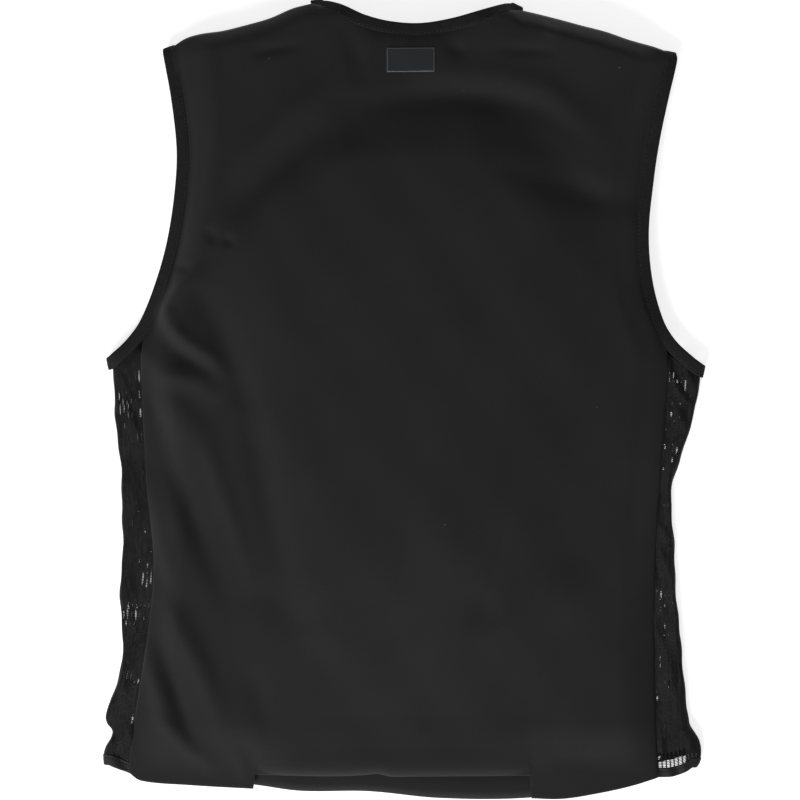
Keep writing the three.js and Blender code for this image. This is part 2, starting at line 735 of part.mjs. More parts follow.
function frontPanel(side) {
  const { sign } = SIDE_ENDS[side];
  const { underarmY, shoulderXs, tip, neckPoint, hem } = FRONTS[side];
  const seamX = through(SEAMS[side], "y", "x");
  const seamRows = [hem[0][1], -250, -190, -130, -66, 0, underarmY];
  const seam = seamRows.map((y) => [seamX(y) - sign * FRONT_SEAM_INSET, y]);
  const count = ARMHOLES[side].length;
  const armhole = underBinding(ARMHOLE_PATHS[side], 2 * count - UNDERARM_KNOT, 2 * count - 0.5);
  const neckKnots = side === "left" ? [0, FRONT_NECK.left.length - 1] : [NECK_RIGHT, NECK_RIGHT + 4];
  const neck = underBinding(NECK_PATH, ...neckKnots);
  if (side === "right") neck.reverse();
  const zipTop = [zipX(ZIP.topY) + sign * (ZIP.half + SEAM), ZIP.topY];
  const zipBottom = [zipX(hem.at(-1)[1]) + sign * (ZIP.half + SEAM), hem.at(-1)[1]];
  const shoulder = [tip, ...shoulderXs.map((x) => [x, shoulderY(x) - 0.6]), neckPoint];
  const plan = planOf({
    bottom: edgeOf([{ points: [seam[0], ...hem.slice(1, -1), zipBottom], share: 1 }]),
    top: edgeOf([{ points: shoulder, share: 1 }]),
    left: edgeOf([
      { points: seam, share: 12 / 22 },
      { points: [seam.at(-1), ...armhole, tip], share: 10 / 22 },
    ]),
    right: edgeOf([
      { points: [zipBottom, zipTop], share: 15 / 22 },
      { points: [zipTop, ...neck.slice(1), neckPoint], share: 7 / 22 },
    ]),
  });
  return panel(plan, evenly(9), evenly(22), frontUnder, CLOTH);
}

// Zip: two tapes and the closed chain between them as one bar, with the chain towards the floor
function frontZip() {
  const { half, tape: web, chainHalf, chain } = ZIP;
  const section = new THREE.Shape([
    [-half, web], [-half, 0], [half, 0], [half, web], [chainHalf, web],
    [chainHalf, chain], [-chainHalf, chain],
    [-chainHalf, web],
  ].map(([x, y]) => new THREE.Vector2(x, y)));
  const length = Math.hypot(ZIP.topX - ZIP.bottomX, ZIP.topY - ZIP.bottomY);
  return new THREE.ExtrudeGeometry(section, { depth: length, bevelEnabled: false });
}

// Blank woven label, following the cloth that it is sewn on
function napeLabel() {
  const at = (raise) => (u, v) => {
    const x = LABEL.x + LABEL.width * (u - 0.5);
    const y = LABEL.y + LABEL.height * (v - 0.5);
    return new THREE.Vector3(x, y, backUnder(x, y) + CLOTH + LABEL.gap + raise);
  };
  return wall(evenly(5), evenly(3), at(LABEL.thickness), at(0));
}

function finish(colour, roughness) {
  return new THREE.MeshStandardMaterial({ color: colour, roughness, metalness: 0 });
}

function piece(name, geometry, material) {
  const mesh = new THREE.Mesh(geometry, material);
  mesh.name = name;
  return mesh;
}

const softshell = finish(COLOURS.softshell, 0.9);
const liningCloth = finish(COLOURS.lining, 0.85);
const meshCloth = finish(COLOURS.mesh, 0.7);
const bindingTape = finish(COLOURS.binding, 0.8);
const foam = finish(COLOURS.foam, 0.95);
const labelWeave = finish(COLOURS.label, 0.6);

const back = new THREE.Group();
back.add(
  piece("back_panel", backPanel(), softshell),
  piece("back_lining", backLining(), liningCloth),
  piece("back_pad", backPad(), foam),
  piece("nape_label", napeLabel(), labelWeave),
);

const zip = piece("front_zip", frontZip(), bindingTape);
zip.rotation.set(-Math.PI / 2, 0, Math.atan2(ZIP.bottomX - ZIP.topX, ZIP.topY - ZIP.bottomY), "ZYX");
zip.position.set(ZIP.bottomX, ZIP.bottomY, ZIP.chain);

const front = new THREE.Group();
front.add(zip);

const sides = new THREE.Group();
const edges = new THREE.Group();
for (const side of ["left", "right"]) {
  front.add(piece(`front_panel_${side}`, frontPanel(side), softshell));
  sides.add(piece(`side_mesh_${side}`, sidePanel(side), meshCloth));
  sides.add(piece(`side_hem_${side}`, hemTape(side), bindingTape));
  edges.add(piece(`armhole_binding_${side}`, binding(ARMHOLE_PATHS[side], true), bindingTape));
}
edges.add(piece("neck_binding", binding(NECK_PATH, false), bindingTape));

const vest = new THREE.Group();
vest.add(back, sides, front, edges);
export default vest;
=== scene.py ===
import bpy
import numpy as np
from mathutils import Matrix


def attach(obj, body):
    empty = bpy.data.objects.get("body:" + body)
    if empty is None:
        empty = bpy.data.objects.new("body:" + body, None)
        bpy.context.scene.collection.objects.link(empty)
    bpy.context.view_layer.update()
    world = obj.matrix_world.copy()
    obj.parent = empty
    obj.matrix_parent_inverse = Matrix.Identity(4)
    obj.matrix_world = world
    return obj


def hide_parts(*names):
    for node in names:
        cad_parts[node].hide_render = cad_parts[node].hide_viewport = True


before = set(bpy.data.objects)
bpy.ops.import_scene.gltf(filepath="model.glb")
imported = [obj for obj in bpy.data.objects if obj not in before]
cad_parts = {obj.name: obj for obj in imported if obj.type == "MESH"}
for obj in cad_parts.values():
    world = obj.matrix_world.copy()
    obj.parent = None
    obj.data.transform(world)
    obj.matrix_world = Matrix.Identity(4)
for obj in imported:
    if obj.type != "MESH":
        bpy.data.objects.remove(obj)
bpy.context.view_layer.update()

# Pocket lining: a thin black knit behind the outer back, from below the shoulders to the hem. It closes the
# pocket on the body's side and shows as a strip under the pocket's mouth. It is sewn in with the outer back
# at the side seams.
MM = 0.001
TAU = 2 * np.pi
LINING = 1.2
LINING_INSET = 3.5
LINING_DROP = 15.0
LINING_HEM = [
    (-175, -309), (-122, -314), (-85, -318.8), (-30, -319), (28, -324.6), (100, -324.6), (160, -315.6),
]
LINING_GRID = (90, 60)

# The laid back across the body: y, middle line, half width, height at the edges, height in the middle
ARCH = np.array([
    (-325, -9, 217, 5, 13),
    (-250, -8, 212, 6, 19),
    (-130, -1, 204, 6.5, 25),
    (30, 0, 214, 7, 27),
    (95, 0, 194, 10, 26.5),
    (190, 9, 184, 11.5, 23.5),
    (290, 15, 197, 10, 18),
    (325, 10, 197, 9, 15),
])
ARCH_POWER = 2.6

# The shoulder fold, where back and front meet; over the neck it passes above the neckline
SHOULDER = np.array([
    (-200, 283), (-188, 288.5), (-178, 294.8), (-165, 298.4), (-149, 300.6), (-129, 305.5), (-110, 311),
    (-90, 320), (-80, 324.4), (-66, 325.4), (5, 331), (80, 325), (87, 322.6), (95, 317.6), (105, 315.2),
    (124, 310.4), (144, 305), (164, 299.8), (183, 293.2), (203, 287.6), (214, 284), (223, 276),
])
FOLD_HEIGHT = 4.4
SHOULDER_ROLL = 12.0

# Edges of the back: side seams from hem to underarm, armholes from shoulder to underarm and the nape from
# left to right, the last two with the direction that points into the cloth
SEAMS = {
    "left": [(-225.5, -303.5), (-220, -260), (-210, -196), (-204.5, -132), (-210.5, -66), (-214.5, 20),
             (-212.8, 52)],
    "right": [(206.5, -308), (204.5, -269), (203, -222), (203, -163), (206, -82), (210, -33), (213.3, 20),
              (213, 43.5)],
}
ARMHOLES = {
    "left": np.array([
        (-197, 282, 1, 0.35), (-190, 244, 1, 0.15), (-185.5, 203, 1, 0), (-187, 170, 1, -0.1),
        (-193, 130, 1, -0.2), (-202, 97, 1, -0.3), (-215, 64.5, 0.9, -0.45), (-227, 48, 0.7, -0.75),
        (-241, 35, 0.2, -1),
    ]),
    "right": np.array([
        (221.5, 276, -1, 0.2), (214, 244, -1, 0.2), (207, 211, -1, 0.17), (202, 178, -1, 0.1),
        (198, 135, -1, 0), (201, 97, -1, -0.2), (210, 64.5, -0.85, -0.5), (220, 48, -0.65, -0.75),
        (235, 34, -0.4, -1), (242.3, 28.6, -0.2, -1),
    ]),
}
BACK_NECK = np.array([
    (-66, 323.8, -1, -0.15), (-58, 322, -0.55, -0.85), (-49, 318.8, -0.45, -0.9), (-32, 311, -0.4, -0.92),
    (-12, 306, -0.2, -1), (12, 304.4, 0, -1), (37, 308, 0.25, -1), (62, 314.8, 0.32, -1),
    (80, 320.2, 0.45, -0.9), (86, 321.6, 0.9, -0.55),
])
BACK_SHOULDERS = {
    "left": [(-188.4, 287.6), (-178, 294.2), (-165, 297.8), (-149, 300), (-129, 304.9), (-110, 310.4),
             (-91, 318.6), (-75.5, 322.6)],
    "right": [(94.5, 316.9), (106, 314.3), (124, 309.8), (144, 304.4), (164, 299.2), (183, 292.6), (203, 287),
              (213, 283.4)],
}
UNDERARM_ROW = 6
SEAM_SHARE = 20 / 34
SHOULDER_SHARE = 0.25
TUCK = 7.5
CHORDS = 32
HAIR = 1e-9


def smooth(t):
    """An even step from 0 to 1: 3 t squared less 2 t cubed, level past both ends."""
    t = np.clip(t, 0, 1)
    return t * t * (3 - 2 * t)


def through(keys, values):
    """A smooth curve through a table: between two rows a cubic that leaves each with its neighbours'
    slope."""
    keys = np.asarray(keys, float)
    values = np.asarray(values, float)
    last = len(keys) - 1
    before = np.maximum(np.arange(last + 1) - 1, 0)
    after = np.minimum(np.arange(last + 1) + 1, last)
    slopes = (values[after] - values[before]) / (keys[after] - keys[before])

    def at(where):
        where = np.clip(where, keys[0], keys[-1])
        k = np.clip(np.searchsorted(keys, where, side="right") - 1, 0, last - 1)
        span = keys[k + 1] - keys[k]
        t = (where - keys[k]) / span
        rise = values[k + 1] - values[k]
        bend = slopes[k] * span - rise
        bend_back = rise - slopes[k + 1] * span
        return values[k] + rise * t + t * (1 - t) * (bend * (1 - t) + bend_back * t)

    return at


arch_middle, arch_half, arch_edge, arch_crown = (through(ARCH[:, 0], column) for column in ARCH.T[1:])
shoulder_y = through(SHOULDER[:, 0], SHOULDER[:, 1])


def rolled(x, y):
    """Share of the full height that is left in the shoulder fold: a quarter circle over the roll's length."""
    inside = np.clip((shoulder_y(x) - y) / SHOULDER_ROLL, 0, 1)
    return np.sqrt(1 - (1 - inside) ** 2)


def lining_under(x, y):
    """Height under the lining: an arch across the body, flat in the middle, brought down into the shoulder
    fold."""
    across = np.minimum(np.abs(x - arch_middle(y)) / arch_half(y), 1)
    arch = arch_edge(y) + (arch_crown(y) - arch_edge(y)) * (1 - across ** ARCH_POWER)
    return FOLD_HEIGHT + (arch - FOLD_HEIGHT) * rolled(x, y)


def unit(vectors):
    """Vectors of length one in the same directions."""
    return vectors / np.linalg.norm(vectors, axis=-1)[..., None]


def apart(points, others):
    """Distances from points to other points."""
    return np.linalg.norm(points - others, axis=-1)


def run_along(points):
    """The way along a line from its first point: the sum of the chords so far."""
    return np.r_[0, np.cumsum(apart(points[1:], points[:-1]))]


def along(points, shares, closed=False):
    """Points at shares of a smooth line's length: each coordinate is a cubic through the given points, by
    the way along their chords, and the curve is measured by short chords of its own."""
    points = np.asarray(points, float)
    knots = np.vstack([points[-2:], points, points[:3]]) if closed else points
    way = run_along(knots[:, :3])
    inside = np.linspace(way[2] if closed else 0, way[-3] if closed else way[-1], CHORDS * len(points))
    fine = np.stack([through(way, column)(inside) for column in knots.T], -1)
    run = run_along(fine[:, :3])
    at = np.asarray(shares) * run[-1]
    return np.stack([np.interp(at, run, column) for column in fine.T], axis=-1)


def edge(stretches, shares):
    """A panel's edge at shares of its parameter: smooth stretches end to end, each with its own part of
    it."""
    line = np.empty((len(shares), 2))
    end = 0
    for points, share in stretches:
        here = (shares >= end - HAIR) & (shares <= end + share + HAIR)
        line[here] = along(points, np.clip((shares[here] - end) / share, 0, 1))
        end += share
    return line


def plan(bottom, top, left, right, u, v):
    """A panel's plan from its edges: both rulings between facing edges, less the ruling between the four
    corners."""
    u = u[None, :, None]
    v = v[:, None, None]
    rulings = (1 - v) * bottom + v * top + (1 - u) * left[:, None] + u * right[:, None]
    low = (1 - u) * bottom[0] + u * bottom[-1]
    high = (1 - u) * top[0] + u * top[-1]
    return rulings - (1 - v) * low - v * high


def tucked(rows):
    """The cloth's edge under a binding: each row's point moved into the cloth, so that the tape covers it."""
    return rows[:, :2] + TUCK * unit(rows[:, 2:])


def back_side(side, shares):
    """A side edge of the back: up the seam to the underarm, then under the armhole's binding to the
    shoulder."""
    armhole = tucked(ARMHOLES[side][:UNDERARM_ROW + 1])[::-1]
    shoulder_end = BACK_SHOULDERS[side][0 if side == "left" else -1]
    upper = np.vstack([SEAMS[side][-1], armhole, shoulder_end])
    return edge([(SEAMS[side], SEAM_SHARE), (upper, 1 - SEAM_SHARE)], shares)


def back_top(shares):
    """The top edge of the back: along the left shoulder, under the neck binding and along the right
    shoulder."""
    nape = np.vstack([BACK_SHOULDERS["left"][-1], tucked(BACK_NECK), BACK_SHOULDERS["right"][0]])
    return edge([(BACK_SHOULDERS["left"], SHOULDER_SHARE), (nape, 1 - 2 * SHOULDER_SHARE),
                 (BACK_SHOULDERS["right"], SHOULDER_SHARE)], shares)


def wall(outer, inner):
    """A closed cloth wall from two grids of points: the outer face, the inner face turned over, and a rim."""
    rows, columns = outer.shape[:2]
    layer = rows * columns
    top = np.arange(layer).reshape(rows, columns)
    faces = np.stack([top[:-1, :-1], top[:-1, 1:], top[1:, 1:], top[1:, :-1]], -1).reshape(-1, 4)
    ring = np.r_[top[0, :-1], top[:-1, -1], top[-1, :0:-1], top[:0:-1, 0]]
    after = np.roll(ring, -1)
    rim = np.stack([after, ring, ring + layer, after + layer], -1)
    points = np.concatenate([outer.reshape(-1, 3), inner.reshape(-1, 3)])
    return points, np.concatenate([faces, faces[:, ::-1] + layer, rim])


def piece(name, points, faces, finish, uv=None):
    """A piece of the vest: a smooth-shaded mesh in metres, its faces turned out by the sign of their
    volume."""
    corners = points[faces]
    volume = np.einsum("ij,ij->", corners[:, 0], np.cross(corners[:, 1], corners[:, 2]))
    volume += np.einsum("ij,ij->", corners[:, 0], np.cross(corners[:, 2], corners[:, 3]))
    if volume < 0:
        faces = faces[:, ::-1]
    mesh = bpy.data.meshes.new(name)
    mesh.from_pydata((points * MM).tolist(), [], faces.tolist())
    mesh.shade_smooth()
    if uv is not None:
        layer = mesh.uv_layers.new(name="UVMap")
        layer.data.foreach_set("uv", uv[faces].reshape(-1).astype(np.float32))
    mesh.materials.append(finish)
    made = bpy.data.objects.new(name, mesh)
    bpy.context.scene.collection.objects.link(made)
    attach(made, "root")
    return made


class Wire:
    """A value in a material's nodes. Arithmetic on it adds Math nodes, and node() adds any other node."""

    def __init__(self, tree, socket=None):
        self.tree = tree
        self.socket = socket

    def fill(self, made, sockets):
        for name, value in sockets.items():
            if isinstance(value, Wire):
                self.tree.links.new(value.socket, made.inputs[name])
            else:
                made.inputs[name].default_value = value

    def node(self, kind, settings, sockets, output=0):
        """Adds a node: its settings come first, then the value or the wire of each socket. Gives one
        output."""
        made = self.tree.nodes.new(kind)
        for name, value in settings.items():
            setattr(made, name, value)
        self.fill(made, sockets)
        return Wire(self.tree, made.outputs[output])

    def surface(self, sockets):
        """Sets the material's own shader: the value or the wire of each of its sockets."""
        self.fill(self.tree.nodes["Principled BSDF"], sockets)

    def maths(self, operation, first, second=0.0):
        return self.node("ShaderNodeMath", {"operation": operation}, {0: first, 1: second})

    def __add__(self, other):
        return self.maths("ADD", self, other)

    def __radd__(self, other):
        return self.maths("ADD", other, self)

    def __sub__(self, other):
        return self.maths("SUBTRACT", self, other)

    def __rsub__(self, other):
        return self.maths("SUBTRACT", other, self)

    def __mul__(self, other):
        return self.maths("MULTIPLY", self, other)

    def __rmul__(self, other):
        return self.maths("MULTIPLY", other, self)

    def wave(self, length):
        """A sine wave of a length along the value."""
        return self.maths("SINE", self * (TAU / length))

    def size(self):
        return self.maths("ABSOLUTE", self)

    def least(self, other):
        return self.maths("MINIMUM", self, other)

    def step(self, low, high):
        """An even step from 0 to 1 as the value goes from low to high."""
        return self.node("ShaderNodeMapRange", {"interpolation_type": "SMOOTHSTEP"},
                         {"Value": self, "From Min": low, "From Max": high})

    def between(self, first, second):
        """A colour part of the way from the first to the second, by this value."""
        return self.node("ShaderNodeMix", {"data_type": "RGBA"}, {0: self, 6: first, 7: second}, 2)

    def place(self):
        """The three Object coordinates, in metres."""
        here = self.node("ShaderNodeTexCoord", {}, {}, "Object")
        return here, *(self.node("ShaderNodeSeparateXYZ", {}, {0: here}, axis) for axis in "XYZ")

    def lay(self):
        """The two UV coordinates, in millimetres along and across the piece."""
        here = self.node("ShaderNodeUVMap", {"uv_map": "UVMap"}, {})
        return tuple(self.node("ShaderNodeSeparateXYZ", {}, {0: here}, axis) for axis in "XY")

    def noise(self, here, scale, detail=2.0):
        return self.node("ShaderNodeTexNoise", {}, {"Vector": here, "Scale": scale, "Detail": detail})

    def bump(self, height, strength, distance):
        return self.node("ShaderNodeBump", {}, {"Height": height, "Strength": strength, "Distance": distance})


def new_finish(name):
    """A new material and a first wire to start its nodes from."""
    made = bpy.data.materials.new(name)
    made.use_nodes = True
    return made, Wire(made.node_tree)


def wales(x, y, wale, course):
    """Rows of knit loops: the product of a wave across the wales and a wave along the courses, both in
    metres."""
    return x.wave(wale) * y.wave(course)


lining_knit, wire = new_finish("lining_knit")
here, x, y, z = wire.place()
loops = wales(x, y, wale=0.0016, course=0.0012)
mottle = wire.noise(here, scale=70.0)
wire.surface({
    "Base Color": mottle.between((0.010, 0.010, 0.011, 1), (0.016, 0.016, 0.017, 1)),
    "Roughness": 0.8 + 0.1 * mottle,
    "Specular IOR Level": 0.2,
    "Sheen Weight": 0.1,
    "Sheen Roughness": 0.5,
    "Normal": wire.bump(loops + 0.6 * wire.noise(here, scale=900.0), strength=0.4, distance=0.0002),
})

ROUND_SHARE = 0.9
HEM_ROUND = 1.6
HEM_CURL = 11.0
HEM_CURL_DROP = 5.5
GAPE = 3.0
GAPE_Y = -303.0
GAPE_REACH = 8.0
ON_FRONTS = 2.4
hem_rows = np.array([0, 0.0006, 0.0014, 0.0026, 0.005])
u = np.linspace(0, 1, LINING_GRID[0])
v = np.r_[hem_rows, np.linspace(2 * hem_rows[-1], 1, LINING_GRID[1])]
drop = np.stack([np.zeros_like(v), -LINING_DROP * v], -1)
left = back_side("left", v) + drop + (LINING_INSET, 0)
right = back_side("right", v) + drop - (LINING_INSET, 0)
top = back_top(u) + np.stack([LINING_INSET * (1 - 2 * u), np.full_like(u, -LINING_DROP)], -1)
bottom = along(np.vstack([left[0], LINING_HEM, right[0]]), u)
flat = plan(bottom, top, left, right, u, v)


def rounding(distance, radius):
    """How far an edge's face falls back within a radius of the rim: nine tenths of a quarter circle, as a
    share."""
    return ROUND_SHARE * (1 - np.sqrt(1 - (1 - np.clip(distance / radius, 0, 1)) ** 2))


def curl(distance, reach):
    """How far an edge bends down within a reach of the rim: the square of the share still to go."""
    return np.clip(1 - distance / reach, 0, 1) ** 2


def lifted(flat, height):
    """A plan raised to its heights, as points."""
    return np.concatenate([flat, height[..., None]], -1)


def over(height, flat):
    """A height function's values over a plan."""
    return height(flat[..., 0], flat[..., 1])


def cloth_wall(flat, under, thickness, fall):
    """A cloth's closed wall over a plan: its two faces, each drawn in by the fall at a rounded edge."""
    return wall(lifted(flat, under + thickness - fall), lifted(flat, under + fall))


from_hem = apart(flat, flat[:1])
fall = LINING / 2 * rounding(from_hem, HEM_ROUND)
gape = GAPE * np.exp(-((flat[..., 1] - GAPE_Y) / GAPE_REACH) ** 2)
under = over(lining_under, flat) - HEM_CURL_DROP * curl(from_hem, HEM_CURL) - gape
under = np.maximum(under, ON_FRONTS)
lining = piece("back_lining_cloth", *cloth_wall(flat, under, LINING, fall), lining_knit)
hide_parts("back_lining")

# Protector: a shield of foam with the folded airbag, in a plain cloth cover. It is thickest in the middle
# and lies loose in the pocket between the lining and the outer back, so only its raised form shows.
PAD_THICKNESS = 14.0
PAD_EASE = 1.0
PAD_MIDDLE = 1.0
PAD_EDGE_SHARE = 0.35
PAD_EDGE_BAND = 0.3
PAD_TOP_BAND = 60.0
PAD_FOOT_BAND = 150.0
PAD_GRID = (49, 65)
SEAM_GAP = 0.4

# Half width of the shield along the back
PAD = np.array([
    (-190, 38), (-182, 52), (-165, 60), (-120, 69), (-60, 81), (0, 93), (60, 106), (105, 115), (125, 113),
    (165, 92), (192, 68), (203, 50),
])
PAD_BOTTOM, PAD_TOP = PAD[0, 0], PAD[-1, 0]
pad_half = through(PAD[:, 0], PAD[:, 1])

cover_cloth, wire = new_finish("protector_cover")
here, x, y, z = wire.place()
weave = wales(x, y, wale=0.0011, course=0.0011)
wire.surface({
    "Base Color": wire.noise(here, scale=120.0).between((0.020, 0.020, 0.022, 1), (0.035, 0.035, 0.038, 1)),
    "Roughness": 0.85 + 0.1 * weave,
    "Specular IOR Level": 0.25,
    "Normal": wire.bump(weave, strength=0.3, distance=0.0002),
})

u = np.linspace(-1, 1, PAD_GRID[0])[None, :]
pad_y = np.linspace(PAD_BOTTOM, PAD_TOP, PAD_GRID[1])[:, None]
flat = np.stack(np.broadcast_arrays(PAD_MIDDLE + pad_half(pad_y) * u, pad_y), -1)


def pad_thickness(y, from_middle):
    """The protector's thickness: full inside, less by a square law over a band along the sides and at both
    ends."""
    to_side = (np.abs(from_middle) - 1) / PAD_EDGE_BAND + 1
    to_end = np.maximum(1 - (y - PAD_BOTTOM) / PAD_FOOT_BAND, 1 - (PAD_TOP - y) / PAD_TOP_BAND)
    outward = np.clip(np.maximum(to_side, to_end), 0, 1)
    return PAD_THICKNESS * (1 - (1 - PAD_EDGE_SHARE) * outward ** 2)


under = over(lining_under, flat) + LINING + SEAM_GAP
pad_top = under + pad_thickness(pad_y, u)
pad = piece("back_pad_cover", *wall(lifted(flat, pad_top), lifted(flat, under)), cover_cloth)
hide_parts("back_pad")

# Outer back: one piece of black softshell, knit outside and brushed inside, from the shoulders to the hem.
# It is sewn to the mesh with its side edges turned under, bends down to the fronts at the shoulders and has
# a rolled hem, whose middle stays open as the pocket's mouth.
CLOTH = 2.0
EASE = 2.0
EASE_POWER = 6
WAVE_HEIGHT = 0.35
WAVES = [(23, 41, 0.6), (37, -19, 2.1), (11, 15, 0)]
SIDE_TURN = 6.0
SIDE_DROP = 2.4
MOUTH_LEFT, MOUTH_RIGHT, MOUTH_Y = -122.3, 101.8, -305.0
MOUTH_LIFT = 5.2
MOUTH_POWER = 8
HEM_REACH = 42.0
HEM_TURN = 6.0
HEM_DROP = 3.0
HEM_BEND = 14.0
HEM_BEND_DROP = 2.0
FULLNESS = 0.5
FULL_HEIGHT = 3.5
FULL_EDGE = 0.14
TAPE_REACH = 10.5
SHOULDER_REACH = 18.0
SHOULDER_TURN = 2.8
SHOULDER_FADE = 0.03
FRONT_LIFT = FOLD_HEIGHT + LINING - CLOTH
PUFFS = {"left": 3.0, "right": 1.2}
PUFF_NEAR = 7.0
PUFF_FAR = 32.0
HEM = {
    "left": [(-225.5, -303.5), (-215, -310.4), (-175, -313.6), (-122.3, -316.2)],
    "mouth": [(-122.3, -304.4), (-91, -305.2), (-60, -305.6), (-34, -304.6), (-22, -303.6), (-12, -305.8),
              (4, -305.8), (30, -305.6), (60, -305.5), (101.8, -305.4)],
    "right": [(101.8, -324), (128, -324.6), (161, -319.6), (185, -314.4), (206.5, -308)],
}
HEM_LINE = [(-225.5, -303.5), (-190, -304), (-122.3, -304.4), (101.8, -305.4), (150, -307), (206.5, -308)]
HEM_STEP = 0.035
HEM_SHARES = {"left": SHOULDER_SHARE, "mouth": 1 - 2 * SHOULDER_SHARE, "right": SHOULDER_SHARE}
SEAM_FADE = 0.06

# The cloth over the shield: half width of its raised part, which goes on below the shield to the hem, how
# far inside that it begins to slope down to the lining, and the length of the slope along the back: y, left
# and right
COVER = np.vstack([[(-345, 46), (-250, 52)], PAD[2:]])
COVER_INSET = 12.0
COVER_FOOT = -345.0
COVER_RISE = 285.0
COVER_ROWS = 41
SLOPE_BLEND = 60.0
SLOPES = np.array([
    (-260, 95, 90), (-190, 98, 84), (-120, 98, 72), (0, 94, 70), (105, 70, 70), (165, 46, 70),
    (200, 46, 60), (260, 58, 58),
])

# Soft folds of the outer back: height, half width and the line that each follows; hollows have negative
# heights
FOLDS = [
    (4.0, 6.5, [(-160, 103), (-172, 97), (-184, 88), (-194, 76), (-190, 60), (-175, 44), (-157, 32),
                (-140, 14)]),
    (2.6, 14, [(-162, 108), (-181, 88), (-187, 70), (-175, 48), (-155, 30), (-138, 10)]),
    (-4.5, 12, [(-176, 98), (-160, 78), (-146, 52), (-134, 20), (-126, -10)]),
    (-3.6, 7, [(-208, 64), (-186, 41), (-158, 25), (-144, 12)]),
    (4.5, 9, [(-226, 48), (-196, 22), (-166, 13), (-150, -4)]),
    (3.0, 12, [(-226, 24), (-194, 4), (-172, -28), (-160, -62)]),
    (-4.6, 12, [(-152, 56), (-138, 28), (-126, -4), (-118, -40), (-110, -90), (-98, -140), (-90, -180)]),
    (3.5, 9, [(-166, -10), (-151, -64), (-134, -115), (-120, -160)]),
    (-5.0, 10, [(-214, 34), (-206, -8), (-184, -66), (-164, -112), (-140, -176)]),
    (3.5, 7, [(-210, -50), (-199, -115), (-186, -158)]),
    (4.5, 10, [(-206, -146), (-189, -172), (-167, -216), (-144, -275)]),
    (-4.5, 7, [(-203, -185), (-194, -210), (-184, -240), (-168, -288)]),
    (4.0, 8, [(-211, -192), (-205, -225), (-192, -268)]),
    (2.5, 7, [(-206, -250), (-175, -283), (-148, -304)]),
    (1.5, 5, [(-135, -282), (-130, -312)]),
    (-1.6, 13, [(-118, -145), (-98, -170), (-80, -190)]),
    (0.8, 14, [(-76, -178), (-42, -212)]),
    (-1.5, 9, [(-122, -215), (-110, -280)]),
    (2.0, 10, [(-50, 264), (-95, 230), (-128, 196), (-156, 154)]),
    (-5.5, 17, [(-30, 222), (-73, 209), (-110, 180), (-146, 146)]),
    (3.0, 12, [(0, 268), (20, 266), (77, 260), (118, 246), (150, 217), (166, 190)]),
    (-3.2, 12, [(-50, 232), (0, 242), (37, 245), (102, 238), (160, 202)]),
    (-3.2, 12, [(60, 190), (100, 178), (155, 163), (204, 158)]),
    (2.0, 26, [(90, -152), (160, -168)]),
    (6.0, 60, [(0, -120), (30, -128), (70, -140)]),
    (4.5, 32, [(10, 312), (100, 302), (160, 292), (215, 276)]),
    (4.5, 16, [(-204, -56), (-194, -100), (-186, -165)]),
    (-2.0, 14, [(50, -150), (75, -185)]),
    (-1.5, 12, [(115, -298), (170, -304)]),
    (-2.0, 4, [(-128, 279), (-84, 287)]),
    (-2.0, 4, [(70, 283), (124, 281)]),
    (1.6, 4, [(106, 309), (124, 290)]),
    (-2.5, 9, [(-48, 306), (-33, 250)]),
    (-2.0, 6, [(30, 290), (52, 277)]),
    (-5.0, 9, [(-50, 314), (-20, 303), (10, 299), (40, 302), (66, 310)]),
    (-2.5, 3.5, [(-188, 106), (-170, 106)]),
    (-2.2, 4, [(-159, 140), (-153, 124)]),
    (-2.2, 4, [(-148, 131), (-136, 124)]),
]


def nearest(x, y, line):
    """Square of the distance from a line of straight stretches, and the share of its length at the nearest
    place."""
    here = np.stack(np.broadcast_arrays(x, y), -1)[..., None, :]
    start = np.asarray(line[:-1], float)
    step = np.diff(np.asarray(line, float), axis=0)
    length = np.linalg.norm(step, axis=1)
    t = np.clip(((here - start) * step).sum(-1) / length ** 2, 0, 1)
    away = ((here - start - t[..., None] * step) ** 2).sum(-1)
    run = np.r_[0, np.cumsum(length)[:-1]] + t * length
    share = np.take_along_axis(run, away.argmin(-1)[..., None], -1)[..., 0] / length.sum()
    return away.min(-1), share


def ridges(x, y, folds):
    """Heights of soft folds: each falls off from its line as a bell curve, and a half wave fades it to its
    ends."""
    rise = np.zeros(np.broadcast(x, y).shape)
    for height, width, line in folds:
        away, share = nearest(x, y, line)
        rise += height * np.exp(-away / width ** 2) * np.sin(np.pi * share)
    return rise


cover_half = through(COVER[:, 0], COVER[:, 1])
cover_rows = np.linspace(COVER_FOOT, PAD_TOP, COVER_ROWS)
cover_right = np.stack([PAD_MIDDLE + cover_half(cover_rows), cover_rows], -1)
cover_left = np.stack([PAD_MIDDLE - cover_half(cover_rows), cover_rows], -1)[::-1]
cover_outline = np.vstack([cover_right, cover_left])
slope_left, slope_right = (through(SLOPES[:, 0], column) for column in SLOPES.T[1:])


def inside_edges(x, y):
    """How far out a place lies between the middle line and the side edges, and a step to 0 at the hem and
    shoulders."""
    across = np.minimum(np.abs(x - arch_middle(y)) / arch_half(y), 1)
    return across, smooth((y - MOUTH_Y) / HEM_REACH) * smooth((shoulder_y(x) - y) / SHOULDER_REACH)


def full_height(x, y):
    """Height that the folded airbag gives the cloth all over the pocket, down to nothing at the edges."""
    across, ends = inside_edges(x, y)
    return FULL_HEIGHT * ends * smooth((1 - across) / FULL_EDGE)


